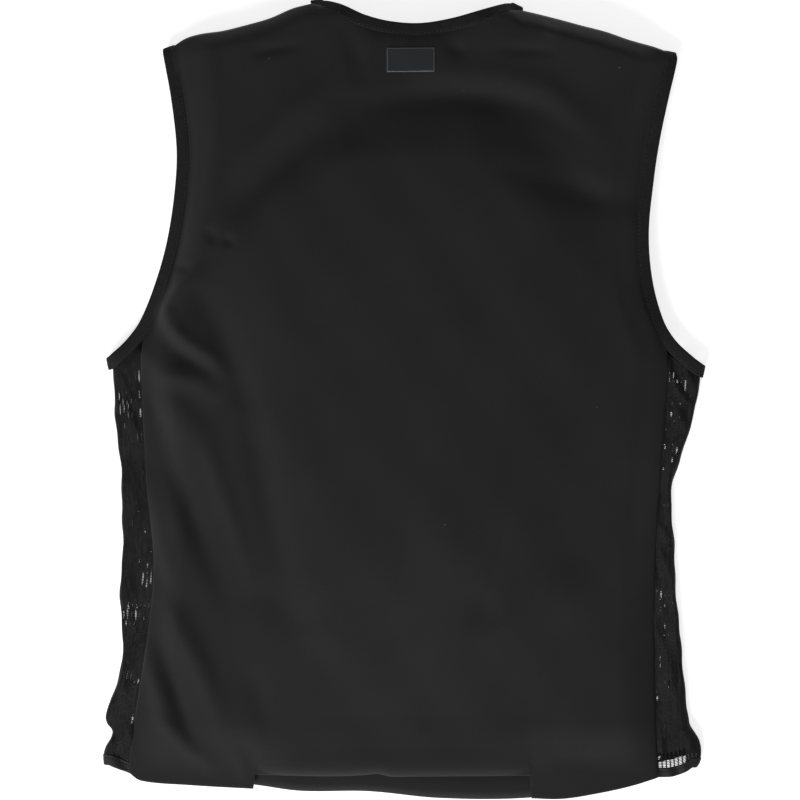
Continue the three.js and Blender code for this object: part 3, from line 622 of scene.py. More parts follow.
def pad_rise(x, y):
    """The cloth over the protector: full height well inside its outline, an even slope to the lining
    outside, and the whole form lower towards the hem."""
    inside = (np.abs(x - PAD_MIDDLE) < cover_half(y)) & (y < PAD_TOP)
    from_outline = np.sqrt(nearest(x, y, cover_outline)[0])
    away = np.where(inside, -from_outline, from_outline) + COVER_INSET
    top = np.maximum((PAD_THICKNESS + PAD_EASE) * smooth((y - COVER_FOOT) / COVER_RISE), full_height(x, y))
    to_right = smooth((x - PAD_MIDDLE) / SLOPE_BLEND + 0.5)
    slope = slope_left(y) + (slope_right(y) - slope_left(y)) * to_right
    return full_height(x, y) + (top - full_height(x, y)) * smooth(1 - away / slope)


def mouth_rise(x, y):
    """The open mouth stands off the lining: highest in the middle of its edge, fading up the back."""
    middle = (MOUTH_LEFT + MOUTH_RIGHT) / 2
    across = np.minimum(np.abs(x - middle) / (MOUTH_RIGHT - middle), 1)
    return MOUTH_LIFT * (1 - across ** MOUTH_POWER) * (1 - smooth((y - MOUTH_Y) / HEM_REACH))


def slack(x, y):
    """The cloth's ease over the lining, nothing at the edges, with long shallow waves. Towards the sides
    the airbag in the pocket holds the cloth up, so that it makes good a share of the lining's fall and
    drops only near the seam."""
    across, ends = inside_edges(x, y)
    waves = sum(np.sin(x / x_length + y / y_length + start) for x_length, y_length, start in WAVES)
    fall = (arch_crown(y) - arch_edge(y)) * across ** ARCH_POWER
    full = FULLNESS * fall * smooth((1 - across) / FULL_EDGE)
    return ends * ((1 - across ** EASE_POWER) * (EASE + WAVE_HEIGHT * waves) + full)


def armhole_puff(x, y):
    """The cloth puffs up beside the armhole's taut tape: up over a short way from the tape, then slowly
    down."""
    rise = 0
    for side, rows in ARMHOLES.items():
        away = np.sqrt(nearest(x, y, rows[:, :2])[0]) - TAPE_REACH
        rise = rise + PUFFS[side] * smooth(away / PUFF_NEAR) * smooth(1 - (away - PUFF_NEAR) / PUFF_FAR)
    return rise


def back_rise(x, y):
    """Height of the outer back over the lining: ease, protector, pocket mouth, folds and puffed edges
    together."""
    loose = ridges(x, y, FOLDS) + armhole_puff(x, y)
    meets_front = smooth((shoulder_y(x) - y) / SHOULDER_REACH)
    rise = slack(x, y) + pad_rise(x, y) + mouth_rise(x, y) + loose * meets_front
    return np.maximum(rise, 0)


def back_under(x, y):
    """Height under the outer back."""
    return lining_under(x, y) + LINING + SEAM_GAP + back_rise(x, y)


def front_under(x, y):
    """Height under the fronts: on the floor, lifted in the shoulder fold to meet the back."""
    return FRONT_LIFT * (1 - rolled(x, y))


softshell, wire = new_finish("softshell")
here, x, y, z = wire.place()
loops = wales(x, y, wale=0.0013, course=0.0010)
fuzz = wire.noise(here, scale=700.0, detail=3.0)
mottle = wire.noise(here, scale=28.0, detail=4.0)
lint = wire.node("ShaderNodeTexVoronoi", {}, {"Vector": here, "Scale": 26.0})
specks = 1 - lint.step(low=0.010, high=0.020)
shade = (0.5 * fuzz + 0.5 * mottle).between((0.0125, 0.0122, 0.0130, 1), (0.0235, 0.0228, 0.0240, 1))
wire.surface({
    "Base Color": (0.4 * specks).between(shade, (0.25, 0.25, 0.25, 1)),
    "Roughness": 0.75 + 0.2 * fuzz,
    "Specular IOR Level": 0.2,
    "Sheen Weight": 0.15,
    "Sheen Roughness": 0.4,
    "Normal": wire.bump(0.5 * loops + fuzz, strength=0.35, distance=0.0003),
})

rim = np.array([0, 0.001, 0.0022, 0.004, 0.007, 0.011])
past_rim = 0.016
mouth_end = 0.002
shoulder_columns, mouth_columns, back_rows = 40, 92, 212
u = np.r_[
    rim,
    np.linspace(past_rim, SHOULDER_SHARE - mouth_end, shoulder_columns),
    np.linspace(SHOULDER_SHARE + mouth_end, 1 - SHOULDER_SHARE - mouth_end, mouth_columns),
    np.linspace(1 - SHOULDER_SHARE + mouth_end, 1 - past_rim, shoulder_columns),
    1 - rim[::-1],
]
roll_rows = 1 - np.array([0.026, 0.021, 0.017, 0.0135, 0.0105, 0.008, 0.0058, 0.004, 0.0024, 0.001, 0])
first_row, last_row = 0.009, 0.97
v = np.r_[hem_rows, np.linspace(first_row, last_row, back_rows), roll_rows]
bottom = edge([(HEM[part], share) for part, share in HEM_SHARES.items()], u)
hem_line = np.array(HEM_LINE)
level = np.stack([bottom[:, 0], np.interp(bottom[:, 0], hem_line[:, 0], hem_line[:, 1])], -1)
flat = plan(level, back_top(u), back_side("left", v), back_side("right", v), u, v)
flat[..., 1] += (bottom - level)[:, 1] * smooth(1 - (v - hem_rows[-1]) / HEM_STEP)[:, None]
from_hem = apart(flat, flat[:1])
from_side = np.minimum(apart(flat, flat[:, :1]), apart(flat, flat[:, -1:]))
on_seam = smooth((SEAM_SHARE - v) / SEAM_FADE)[:, None]
turn = SIDE_DROP * on_seam * rounding(from_side, SIDE_TURN)
fall = CLOTH / 2 * np.maximum(rounding(from_hem, HEM_ROUND), on_seam * rounding(from_side, HEM_ROUND))
roll = HEM_DROP * curl(from_hem, HEM_TURN) + HEM_BEND_DROP * curl(from_hem, HEM_BEND)
roll = np.minimum(roll, over(back_rise, flat))
under = over(back_under, flat) - turn - roll
from_shoulder = apart(flat, flat[-1:])
on_shoulder = smooth((np.abs(u - 0.5) - 0.5 + SHOULDER_SHARE) / SHOULDER_FADE + 1)
over_front = np.maximum(under - over(front_under, flat) - CLOTH - SEAM_GAP, 0)
under = under - over_front * on_shoulder * curl(from_shoulder, SHOULDER_TURN)
back = piece("back_panel_cloth", *cloth_wall(flat, under, CLOTH, fall), softshell)
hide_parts("back_panel")

# Nape label: a small label of black satin with a woven edge, left blank. It is sewn flat on the outer back,
# just under the neck binding.
LABEL = {"x": 4.5, "y": 273.7, "width": 39.5, "height": 20.5, "thickness": 0.8}
LABEL_EDGE = 0.9
LABEL_ROUND = 1.0
LABEL_SINK = 0.1
LABEL_GRID = (60, 32)

label_satin, wire = new_finish("label_satin")
across, up = wire.lay()
from_edge = across.least(LABEL["width"] - across).least(up.least(LABEL["height"] - up))
border = 1 - (from_edge - LABEL_EDGE).size().step(low=0.15, high=0.5)
twill = (across + up).wave(length=0.5)
wire.surface({
    "Base Color": border.between((0.017, 0.019, 0.023, 1), (0.10, 0.105, 0.115, 1)),
    "Roughness": 0.45 + 0.15 * twill,
    "Specular IOR Level": 0.35,
    "Normal": wire.bump(twill + 2 * border, strength=0.3, distance=0.0002),
})

columns = np.linspace(0, LABEL["width"], LABEL_GRID[0])
u, v = np.meshgrid(columns, np.linspace(0, LABEL["height"], LABEL_GRID[1]))
flat = np.stack([LABEL["x"] - LABEL["width"] / 2 + u, LABEL["y"] - LABEL["height"] / 2 + v], -1)
from_rim = np.minimum(np.minimum(u, LABEL["width"] - u), np.minimum(v, LABEL["height"] - v))
under = over(back_under, flat) + CLOTH - LABEL_SINK
top = under + LABEL["thickness"] * (1 - rounding(from_rim, LABEL_ROUND))
points, faces = wall(lifted(flat, top), lifted(flat, under))
lay = np.tile(np.stack([u, v], -1).reshape(-1, 2), (2, 1))
label = piece("nape_label_weave", points, faces, label_satin, lay)
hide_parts("nape_label")

# Mesh sides: open stretch net in a strip under each arm, sewn between the back and the front. The laid vest
# folds each strip round to its front. The half beneath is slack, so its holes are drawn together and little
# light comes through.
MESH = 0.7
SIDE_BEND = 3.4
COLUMN_PITCH = 3.3
ROW_PITCH = 1.3
HOLE_WIDTH = 0.24
HOLE_HEIGHT = 0.4
HOLE_EASED = 0.3
HOLE_SLACK = 0.12
HOLE_WIDENED = (0.6, 0.15)
HEXAGON = np.array([(-1, -0.6), (0, -1), (1, -0.6), (1, 0.6), (0, 1), (-1, 0.6)])
WALE_RISE = 0.05
WIDTH_ROWS = 60
SEAM_TUCK = 3.0
SEAM_UNDER = 0.8
SIDE_LIFT = 0.3
TAPE_OVERLAP = 3.0
NET_PAST_SEAM = 4.0
FRONT_SEAM_INSET = 4.0

# Fold of each strip, the outline of the laid vest: y, x
SIDE_FOLDS = {
    "left": np.array([
        (-300, -244.6), (-290, -245.6), (-284, -244), (-276, -239.4), (-270, -239), (-264, -243.6),
        (-258, -244.6), (-245, -240), (-228, -233.5), (-212, -230.5), (-163, -232), (-115, -230.5),
        (-66, -231.2), (-33, -234.4), (0, -237), (24, -238.5),
    ]),
    "right": np.array([
        (-308, 230), (-304, 234), (-300, 237.7), (-294, 241), (-284, 241.9), (-277, 240), (-272, 236.6),
        (-266, 232), (-260, 230.6), (-228, 228), (-180, 223), (-115, 219), (-82, 217.6), (-66, 218.6),
        (-49, 224), (-33, 229.5), (-17, 235), (0, 237.8), (16, 240.6),
    ]),
}

# Ends of each strip: its top at the back seam, the fold and the front seam, and its foot, which rises to
# the fold by a power and then follows a table along the half beneath, with the height of the tape round it
SIDES = {
    "left": {"sign": -1, "tops": (50, 31, 48), "seam_foot": -305.6, "fold_foot": -298, "foot_power": 1,
             "front_feet": ((0, -298), (0.5, -295), (1, -293)), "tape": 9},
    "right": {"sign": 1, "tops": (40, 19, 31), "seam_foot": -308, "fold_foot": -300, "foot_power": 3,
              "front_feet": ((0, -300), (0.1, -287.5), (1, -296.5)), "tape": 8},
}

# Crumples of the laid net: height, half width and line
CRUMPLES = {
    "left": [
        (2.5, 5, [(-236, -250), (-228, -268), (-222, -282)]),
        (2.0, 4, [(-244, -270), (-236, -284)]),
        (2.0, 6, [(-226, -215), (-232, -240)]),
        (1.5, 6, [(-222, -120), (-214, -165)]),
        (1.8, 6, [(-232, 8), (-220, -25)]),
        (1.5, 6, [(-226, -45), (-217, -85)]),
        (1.2, 2.4, [(-228, -48), (-218, -71), (-207, -98)]),
    ],
    "right": [
        (2.0, 5, [(238, -282), (214, -262)]),
        (1.5, 6, [(222, -215), (208, -245)]),
        (2.0, 6, [(234, 6), (216, -20)]),
        (1.5, 5, [(226, -28), (212, -60)]),
    ],
}

# Waves of the laid net. At the fold they lean sideways: height, length along y and start. In the upper half
# they rise and fall: height, lengths along x and y and start. Another of these sways and comes in patches
# along y.
LEANS = [(1.1, 11, 0), (0.8, 4.7, 1)]
RIPPLES = [(0.5, 3.1, 13, 0), (0.4, 4.3, -8, 1)]
PATCHED_RIPPLE = (0.5, 2.1, 4.7)
PATCH_LENGTH = 27.0
PATCH_START = 0.8
SWAY = 1.5
SWAY_LENGTH = 17.0
RIPPLE_START = 0.25

# Places where the net lies stretched, so that holes of both layers meet: x, y and half the height of the
# larger ones, which share a half width. Small ones are strewn over each side from a way above its foot,
# with their number, seeds, span between seam and fold, half heights and half width.
OPEN_NET = {
    "left": [(-230.8, -3, 9), (-227.5, -4, 11), (-224.2, -6, 9.5), (-217, 20, 5), (-215, 4, 3),
             (-214.6, -11, 3), (-214.8, -30, 4), (-229, -177, 6), (-225.5, -175, 8), (-219, -176, 7),
             (-212, -147, 5), (-208.6, -145, 4), (-220.6, -262, 3)],
    "right": [(227.5, 11, 4), (217, 18, 3), (220, -43, 3), (208, -160, 3), (212, -188, 4), (208.5, -214, 4),
              (214, -232, 3)],
}
STREWN = 26
STREWN_SEED = {"left": 5, "right": 9}
STREWN_HEIGHT = (0.2, 1.4)
OPEN_WIDTH = 1.3
STREWN_WIDTH = 0.3
STREWN_FOOT = 55.0
STREWN_SPAN = (0.1, 0.98)
BENEATH_ASIDE = 2.0
BENEATH_ABOVE = 1.0
STRETCHED_FOOT = {"left": 0.0, "right": 17.0}
STRETCHED_END = 7.0
STRETCHED_FADE = (3.0, 4.0)


def side_section(side):
    """A strip's section at any height up the body: from the seam out to the fold, half round it, back on
    the floor.

    Takes the way round the section from the seam, in millimetres, and y; gives x, z and the way to the
    bend."""
    sign = SIDES[side]["sign"]
    seam_rows = np.array(SEAMS[side])
    seam_x = through(seam_rows[:, 1], seam_rows[:, 0])
    fold_x = through(SIDE_FOLDS[side][:, 0], SIDE_FOLDS[side][:, 1])
    low = MESH / 2 + SIDE_LIFT

    def at(way, y):
        start = seam_x(y) - sign * SEAM_TUCK
        bend = fold_x(y) - sign * (SIDE_BEND + MESH / 2)
        out = np.abs(bend - start)
        share = np.clip(way / out, 0, 1)
        seam_height = back_under(seam_x(y), y) - SEAM_UNDER
        top = low + 2 * SIDE_BEND
        turn = np.clip((way - out) / SIDE_BEND, 0, np.pi)
        beyond = np.maximum(way - out - np.pi * SIDE_BEND, 0)
        above = (1 + np.cos(turn)) / 2
        lean = (1 - above) * sum(height * np.sin(y / length + start) for height, length, start in LEANS)
        x = start + sign * (share * out + SIDE_BEND * np.sin(turn) - beyond) + lean
        waves = sum(height * np.sin(x / across + y / up + start) for height, across, up, start in RIPPLES)
        height, across, up = PATCHED_RIPPLE
        patch = 0.5 + 0.5 * np.sin(y / PATCH_LENGTH + PATCH_START)
        sway = SWAY * np.sin(y / SWAY_LENGTH)
        waves = waves + height * patch * np.sin(x / across + y / up + sway)
        crumple = ridges(x, y, CRUMPLES[side]) + waves * smooth(share / RIPPLE_START)
        rising = seam_height + (top - seam_height) * smooth(share)
        z = np.where(way < out, rising, low + SIDE_BEND * (1 + np.cos(turn)))
        return x, z + crumple * above, out

    return at


def shares_round(way, out):
    """A way round a strip's section as two shares: out from the seam to the fold, and back from the fold
    beneath."""
    return np.clip(way / out, 0, 1), np.clip((way - out - np.pi * SIDE_BEND) / out, 0, 1)


def side_foot(side, way, out):
    """A strip's foot at ways round it: up from the seam to the fold by a power, then by the table beneath."""
    row = SIDES[side]
    share, after = shares_round(way, out)
    beneath = np.interp(after, *np.transpose(row["front_feet"]))
    rise = (row["fold_foot"] - row["seam_foot"]) * share ** row["foot_power"]
    return np.where(share < 1, row["seam_foot"] + rise, beneath)


def side_head(side, way, out):
    """A strip's top at ways round it: straight from the seam to the fold, then straight to the front seam."""
    seam, fold, front = SIDES[side]["tops"]
    share, after = shares_round(way, out)
    return np.where(share < 1, seam + (fold - seam) * share, fold + (front - fold) * after)


mesh_yarn, wire = new_finish("mesh_yarn")
here, x, y, z = wire.place()
twist = (y + 0.4 * x).wave(length=0.0009)
# The crease noise raises the yarn's bump and also darkens its colour where the bump is low: painted shade in
# the creases. Larger patches make the colour darker or lighter besides.
crease_relief_and_shade = wire.noise(here, scale=190.0, detail=3.0)
patches = wire.noise(here, scale=26.0)
wire.surface({
    "Base Color": (crease_relief_and_shade + 2 * patches - 1).between((0.001, 0.001, 0.0013, 1), (0.010, 0.010, 0.0114, 1)),
    "Roughness": 0.6 + 0.1 * twist,
    "Specular IOR Level": 0.2,
    "Normal": wire.bump(0.2 * twist + 2 * crease_relief_and_shade, strength=0.9, distance=0.0006),
})


def open_places(side):
    """Where a strip's net is open: the larger places, and small ones strewn at random between the seam and
    the fold."""
    section = side_section(side)
    chance = np.random.default_rng(STREWN_SEED[side])
    y = chance.uniform(SIDES[side]["fold_foot"] + STREWN_FOOT, SIDES[side]["tops"][1], STREWN)
    x = section(chance.uniform(*STREWN_SPAN, STREWN) * section(0.0, y)[2], y)[0]
    small = zip(x, y, chance.uniform(*STREWN_HEIGHT, STREWN), np.full(STREWN, STREWN_WIDTH))
    return [(*place, OPEN_WIDTH) for place in OPEN_NET[side]] + list(small)


def between_rings(first, second):
    """Quads between closed rings of point numbers, each ring a row."""
    return np.stack([first, np.roll(first, -1, 1), np.roll(second, -1, 1), second], -1)


def pairs(first, second):
    """All pairs of numbers below two counts, the second running faster, as two flat arrays."""
    return (a.ravel() for a in np.meshgrid(np.arange(first), np.arange(second), indexing="ij"))


def net(side):
    """A net of hexagons: each cell of a lattice is a frame of six quads between its edge and its hole's
    edge.

    The lattice stands a little proud of the holes, which rounds the yarn. Holes are full where the net is
    stretched, smaller elsewhere and almost closed beneath, but wide under a stretched place and at a
    stretched foot. Cells past the front seam are left out."""
    section = side_section(side)
    shape = SIDES[side]
    foot_out, head_out = (float(section(0.0, y)[2]) for y in (shape["fold_foot"], shape["tops"][0]))
    widest = float(section(0.0, np.linspace(shape["seam_foot"], shape["tops"][0], WIDTH_ROWS))[2].max())
    columns = int((2 * widest + np.pi * SIDE_BEND) / COLUMN_PITCH) + 1
    rows = int((shape["tops"][0] - shape["seam_foot"] - shape["tape"]) / ROW_PITCH)

    def lay(column, row, rise):
        """A place in the net as a point, its way past the bend and past the front seam, and its height on
        the foot."""
        way = column * COLUMN_PITCH
        foot = side_foot(side, way, foot_out) + shape["tape"] - TAPE_OVERLAP
        y = foot + (side_head(side, way, head_out) - foot) * row / rows
        x, z, out = section(way, y)
        point = np.stack([x, y, z + np.where(way < out, rise, -rise)], -1)
        return point, way - out, way - 2 * out - np.pi * SIDE_BEND, y - foot

    half_column, row = pairs(2 * columns + 1, rows + 1)
    lattice = lay(half_column / 2, row, WALE_RISE)[0]
    column, row = pairs(columns, rows)
    low = 2 * column * (rows + 1) + row
    step = rows + 1
    corner = np.stack([low, low + step, low + 2 * step, low + 2 * step + 1, low + step + 1, low + 1], -1)
    middle, past_bend, past_seam, on_foot = lay(column + 0.5, row + 0.5, 0.0)
    beneath = smooth(past_bend / (np.pi * SIDE_BEND))
    before_bend = smooth((-STRETCHED_END - past_bend) / STRETCHED_FADE[0])
    at_foot = before_bend * smooth((STRETCHED_FOOT[side] - on_foot) / STRETCHED_FADE[1])
    opened = np.zeros_like(at_foot)
    for x, y, half_height, half_width in open_places(side):
        aside = np.abs(middle[:, 0] - x) - half_width - BENEATH_ASIDE * beneath
        above = np.abs(middle[:, 1] - y) - half_height - BENEATH_ABOVE * beneath
        opened = np.maximum(opened, smooth(1 - aside) * smooth(1 - above))
    closed_size = HOLE_EASED + (HOLE_SLACK - HOLE_EASED) * beneath
    size = closed_size + (1 - closed_size) * np.maximum(opened, at_foot)
    widened = np.maximum(at_foot, opened * beneath)[:, None, None] * HOLE_WIDENED
    hole = HEXAGON * (HOLE_WIDTH, HOLE_HEIGHT) * size[:, None, None] * (1 + widened)
    hole_column = (column[:, None] + 0.5 + hole[..., 0]).ravel()
    hole_row = (row[:, None] + 0.5 + hole[..., 1]).ravel()
    holes = lay(hole_column, hole_row, -WALE_RISE)[0]
    inner = len(lattice) + np.arange(len(holes)).reshape(corner.shape)
    ring = between_rings(corner, inner)[past_seam < NET_PAST_SEAM].reshape(-1, 4)
    used, faces = np.unique(ring, return_inverse=True)
    return np.concatenate([lattice, holes])[used], faces.reshape(-1, 4)


for side in ("left", "right"):
    points, faces = net(side)
    strip = piece(f"side_net_{side}", points, faces if side == "right" else faces[:, ::-1], mesh_yarn)
    strip.data.shade_flat()
    depth = strip.modifiers.new("yarn", "SOLIDIFY")
    depth.thickness = MESH * MM
    depth.offset = 0
    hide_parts(f"side_mesh_{side}")

# Fronts: two plain softshell panels that lie on the floor under the back and meet at the zip. They are cut
# deeper round the arms than the back, turned up only at the shoulder fold, and their hems are rolled.
FRONT_SCOOP = 12.0
FRONT_SEAM_ROWS = (-250, -190, -130, -66, 0)
FRONT_SHOULDER_INSET = 0.6
FRONT_GRID = (60, 90)
ZIP = {"bottom": (-9, -310), "top": (6, 225.6), "half": 5.5}
ZIP_LAP = 1.5
FRONTS = {
    "left": {"underarm": 42, "tip": (-188.4, 287.6), "shoulder": (-175, -150, -128, -108, -92),
             "neck_point": (-75, 322.2), "hem": [(-221, -293), (-120, -304), (-14.9, -310)]},
    "right": {"underarm": 32.5, "tip": (212.6, 283.2), "shoulder": (199, 176, 154, 132, 112),
              "neck_point": (94, 316.6), "hem": [(202, -296.5), (100, -306), (-3.1, -310)]},
}
FRONT_NECK = {
    "left": np.array([
        (-65, 316, -1, -0.2), (-61, 294, -1, -0.3), (-50, 267, -0.85, -0.55), (-30, 246.5, -0.5, -0.85),
        (5.6, 236.6, 0, -1),
    ]),
    "right": np.array([
        (85, 314, 1, -0.2), (77, 292, 1, -0.3), (63, 266, 0.85, -0.55), (42, 246.5, 0.5, -0.85),
        (6.4, 236.6, 0, -1),
    ]),
}
FRONT_SEAM_SHARE = 12 / 22
ZIP_SHARE = 15 / 22


def front_armhole(side):
    """The front's armhole: the back's, moved into the cloth by a half wave that is deepest half way down."""
    rows = ARMHOLES[side]
    scoop = FRONT_SCOOP * np.sin(np.pi * np.arange(len(rows)) / (len(rows) - 1))
    return np.hstack([rows[:, :2] + scoop[:, None] * unit(rows[:, 2:]), rows[:, 2:]])


def zip_x(y):
    """The middle of the zip: straight from its foot to its top."""
    return np.interp(y, (ZIP["bottom"][1], ZIP["top"][1]), (ZIP["bottom"][0], ZIP["top"][0]))


for side in ("left", "right"):
    sign = SIDES[side]["sign"]
    row = FRONTS[side]
    seam_rows = np.array(SEAMS[side])
    seam_y = np.array([row["hem"][0][1], *FRONT_SEAM_ROWS, row["underarm"]])
    seam_x = through(seam_rows[:, 1], seam_rows[:, 0])(seam_y)
    seam = np.stack([seam_x - sign * FRONT_SEAM_INSET, seam_y], -1)
    armhole = np.vstack([seam[-1], tucked(front_armhole(side)[:UNDERARM_ROW + 1])[::-1], row["tip"]])
    shoulder = [(x, shoulder_y(x) - FRONT_SHOULDER_INSET) for x in row["shoulder"]]
    zip_ends = (row["hem"][-1][1], ZIP["top"][1])
    zip_line = [(zip_x(y) + sign * (ZIP["half"] - ZIP_LAP), y) for y in zip_ends]
    neck = np.vstack([zip_line[-1], tucked(FRONT_NECK[side])[-2::-1], row["neck_point"]])
    u = np.linspace(0, 1, FRONT_GRID[0])
    v = np.r_[hem_rows, np.linspace(2 * hem_rows[-1], last_row, FRONT_GRID[1]), roll_rows]
    flat = plan(
        along(np.vstack([seam[0], row["hem"][1:-1], zip_line[0]]), u),
        along(np.vstack([row["tip"], shoulder, row["neck_point"]]), u),
        edge([(seam, FRONT_SEAM_SHARE), (armhole, 1 - FRONT_SEAM_SHARE)], v),
        edge([(zip_line, ZIP_SHARE), (neck, 1 - ZIP_SHARE)], v),
        u, v)
    fall = CLOTH / 2 * rounding(apart(flat, flat[:1]), HEM_ROUND)
    under = over(front_under, flat)
    cloth = piece(f"front_panel_cloth_{side}", *cloth_wall(flat, under, CLOTH, fall), softshell)
    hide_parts(f"front_panel_{side}")

# Front zip: two woven tapes with moulded teeth that mesh along the middle, closed from hem to neck. The
# tapes are sewn under the edges of the fronts, and the teeth face the floor.
ZIP_TAPE = {"bottom": 0.9, "top": 1.7}
ZIP_GRID = (13, 120)
RIB_HEIGHT = 0.05
RIB_PITCH = 1.6
TOOTH_PITCH = 2.6
TOOTH = {"length": 4.2, "width": 1.5, "height": 1.6}
TOOTH_TAPER = 0.25
TOOTH_SHIFT = 0.6

zip_weave, wire = new_finish("zip_tape")
here, x, y, z = wire.place()
ribs = x.wave(length=0.0012) + 0.5 * y.wave(length=0.0008)
wire.surface({
    "Base Color": wire.noise(here, scale=400.0).between((0.008, 0.008, 0.009, 1), (0.014, 0.014, 0.015, 1)),
    "Roughness": 0.7 + 0.05 * ribs,
    "Specular IOR Level": 0.3,
    "Normal": wire.bump(ribs, strength=0.4, distance=0.0002),
})
zip_plastic, wire = new_finish("zip_teeth")
here = wire.place()[0]
wire.surface({
    "Base Color": wire.noise(here, scale=200.0).between((0.012, 0.012, 0.013, 1), (0.018, 0.018, 0.019, 1)),
    "Roughness": 0.35 + 0.1 * wire.noise(here, scale=900.0),
})

v = np.linspace(0, 1, ZIP_GRID[1])[:, None]
u = np.linspace(-1, 1, ZIP_GRID[0])[None, :]
zip_foot = np.array(ZIP["bottom"], float)
zip_way = np.array(ZIP["top"], float) - zip_foot
zip_length = np.linalg.norm(zip_way)
zip_along = zip_way / zip_length
zip_across = np.array([zip_along[1], -zip_along[0]])
flat = zip_foot + v[..., None] * zip_way + (u * ZIP["half"])[..., None] * zip_across
ripple = RIB_HEIGHT * np.sin(TAU * u * ZIP["half"] / RIB_PITCH) + 0 * v
top, bottom = (lifted(flat, ZIP_TAPE[face] + ripple) for face in ("top", "bottom"))
tape = piece("front_zip_tape", *wall(top, bottom), zip_weave)
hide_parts("front_zip")

count = int(zip_length / TOOTH_PITCH)
box = np.array([(a, b, c) for c in (0, 1) for b in (-1, 1) for a in (-1, 1)], float)
box_faces = np.array([(0, 2, 3, 1), (4, 5, 7, 6), (0, 1, 5, 4), (2, 6, 7, 3), (0, 4, 6, 2), (1, 3, 7, 5)])
taper = 1 - TOOTH_TAPER * (1 - box[:, 2:])
sizes = (TOOTH["length"] / 2, TOOTH["width"] / 2, TOOTH["height"])
teeth = box * sizes * np.hstack([taper, taper, np.ones_like(taper)])
step = (np.arange(count) + 0.5) * TOOTH_PITCH
shift = np.where(np.arange(count) % 2, TOOTH_SHIFT, -TOOTH_SHIFT)
middle = zip_foot + step[:, None] * zip_along + shift[:, None] * zip_across
teeth_flat = middle[:, None] + teeth[:, :1] * zip_across + teeth[:, 1:2] * zip_along
points = lifted(teeth_flat, np.broadcast_to(teeth[:, 2], teeth_flat.shape[:2])).reshape(-1, 3)
faces = (np.arange(count)[:, None, None] * len(box) + box_faces).reshape(-1, 4)
chain = piece("front_zip_teeth", points, faces, zip_plastic)

# Bindings: flat ribbed elastic tape folded over the raw edges of the armholes and the neck, with one line
# of stitches near its inner edge. It runs round each armhole as a loop, and round the neck from one side of
# the zip to the other.
BINDING_WIDTH = 10.5
BINDING_THICKNESS = 2.8
STITCH_LINE = 8.6
STITCH_PITCH = 3.2
STITCH_LENGTH = 2.3
STITCH_RADIUS = 0.32
STITCH_SINK = 0.25
STITCH_ENDS = np.array([-0.5, -0.3, 0.3, 0.5])
STITCH_GIRTHS = np.array([0.4, 1, 1, 0.4])
STITCH_SIDES = 6
STITCH_POINTS = STITCH_SIDES * len(STITCH_ENDS)
GROOVE_DEPTH = 0.3
GROOVE_HALF = 0.5
ARMHOLE_STATIONS = 260
NECK_STATIONS = 230
LEVEL_PART = 0.6
UNDERARM_PAST = (1.4, -0.8)
SHOULDER_PAST = {"left": (0, 2.2), "right": (-0.5, 5)}
NECK_PAST = {"left": (-0.6, 4), "right": (0.6, 3.6)}

# Places across a tape as shares of its width, closer together at its edges and at the stitches
TAPE_PLACES = np.array([
    0, 0.03, 0.1, 0.22, 0.36, 0.5, 0.62, 0.72, 0.78, 0.82, 0.86, 0.9, 0.94, 0.975, 0.993, 1,
])

binding_tape, wire = new_finish("binding_tape")
run, across = wire.lay()
ribs = run.wave(length=1.3)
cords = across.wave(length=1.7)
fleck = wire.noise(wire.place()[0], scale=500.0)
wire.surface({
    "Base Color": fleck.between((0.010, 0.010, 0.0105, 1), (0.024, 0.024, 0.0245, 1)),
    "Roughness": 0.7 + 0.1 * ribs,
    "Specular IOR Level": 0.1,
    "Normal": wire.bump(0.6 * ribs + 0.2 * cords, strength=0.4, distance=0.0002),
})
thread, wire = new_finish("stitch_thread")
here, x, y, z = wire.place()
twist = (x + y + z).wave(length=0.0006)
wire.surface({
    "Base Color": wire.noise(here, scale=800.0).between((0.006, 0.006, 0.0065, 1), (0.014, 0.014, 0.0145, 1)),
    "Roughness": 0.5 + 0.1 * twist,
    "Normal": wire.bump(twist, strength=0.4, distance=0.0001),
})


def tape_profile(width, thickness, groove):
    """Half of a tape's section: places across it and half thicknesses, rounded at both edges, with a stitch
    groove."""
    across = TAPE_PLACES * width
    from_edge = np.minimum(across, width - across)
    half = thickness / 2 * (1 - rounding(from_edge, thickness / 2))
    return across, half - GROOVE_DEPTH * np.exp(-((across - groove) / GROOVE_HALF) ** 2)


def knots(rows, height):
    """Knots of a tape's path: x, y and height, with the direction into the cloth, tilted to lie on it."""
    into = unit(rows[:, 2:])
    inner = rows[:, :2] + BINDING_WIDTH * into
    outer_height = height(rows[:, 0], rows[:, 1])
    tilt = (height(inner[:, 0], inner[:, 1]) - outer_height) / BINDING_WIDTH
    return np.hstack([rows[:, :2], outer_height[:, None], into, tilt[:, None]])


def turn_knot(above, below, past):
    """The knot where a tape turns over a fold: half way between two knots, and a little past them."""
    middle = (above + below) / 2
    middle[:2] += past
    return middle[None]


def stations(path, count, closed, flip):
    """A tape's stations: points along its path, the way across into the cloth, squared to the path in plan
    except where it is steep, and the way out of the cloth, square to both."""
    shares = np.linspace(0, 1, count, endpoint=not closed)
    rows = along(path, shares, closed)
    point = rows[:, :3]
    point[:, 2] = np.maximum(point[:, 2], BINDING_THICKNESS / 2)
    ahead = np.roll(point, -1, 0) - np.roll(point, 1, 0) if closed else np.gradient(point, axis=0)
    ahead = unit(ahead)
    level = ahead * (1, 1, 0)
    level_part = np.linalg.norm(level, axis=1)[:, None]
    level = level / np.maximum(level_part, HAIR)
    across = rows[:, 3:]
    across = unit(across - np.where(level_part > LEVEL_PART, (across * level).sum(1)[:, None], 0) * level)
    return point, across, unit(np.cross(ahead, across) * flip), ahead


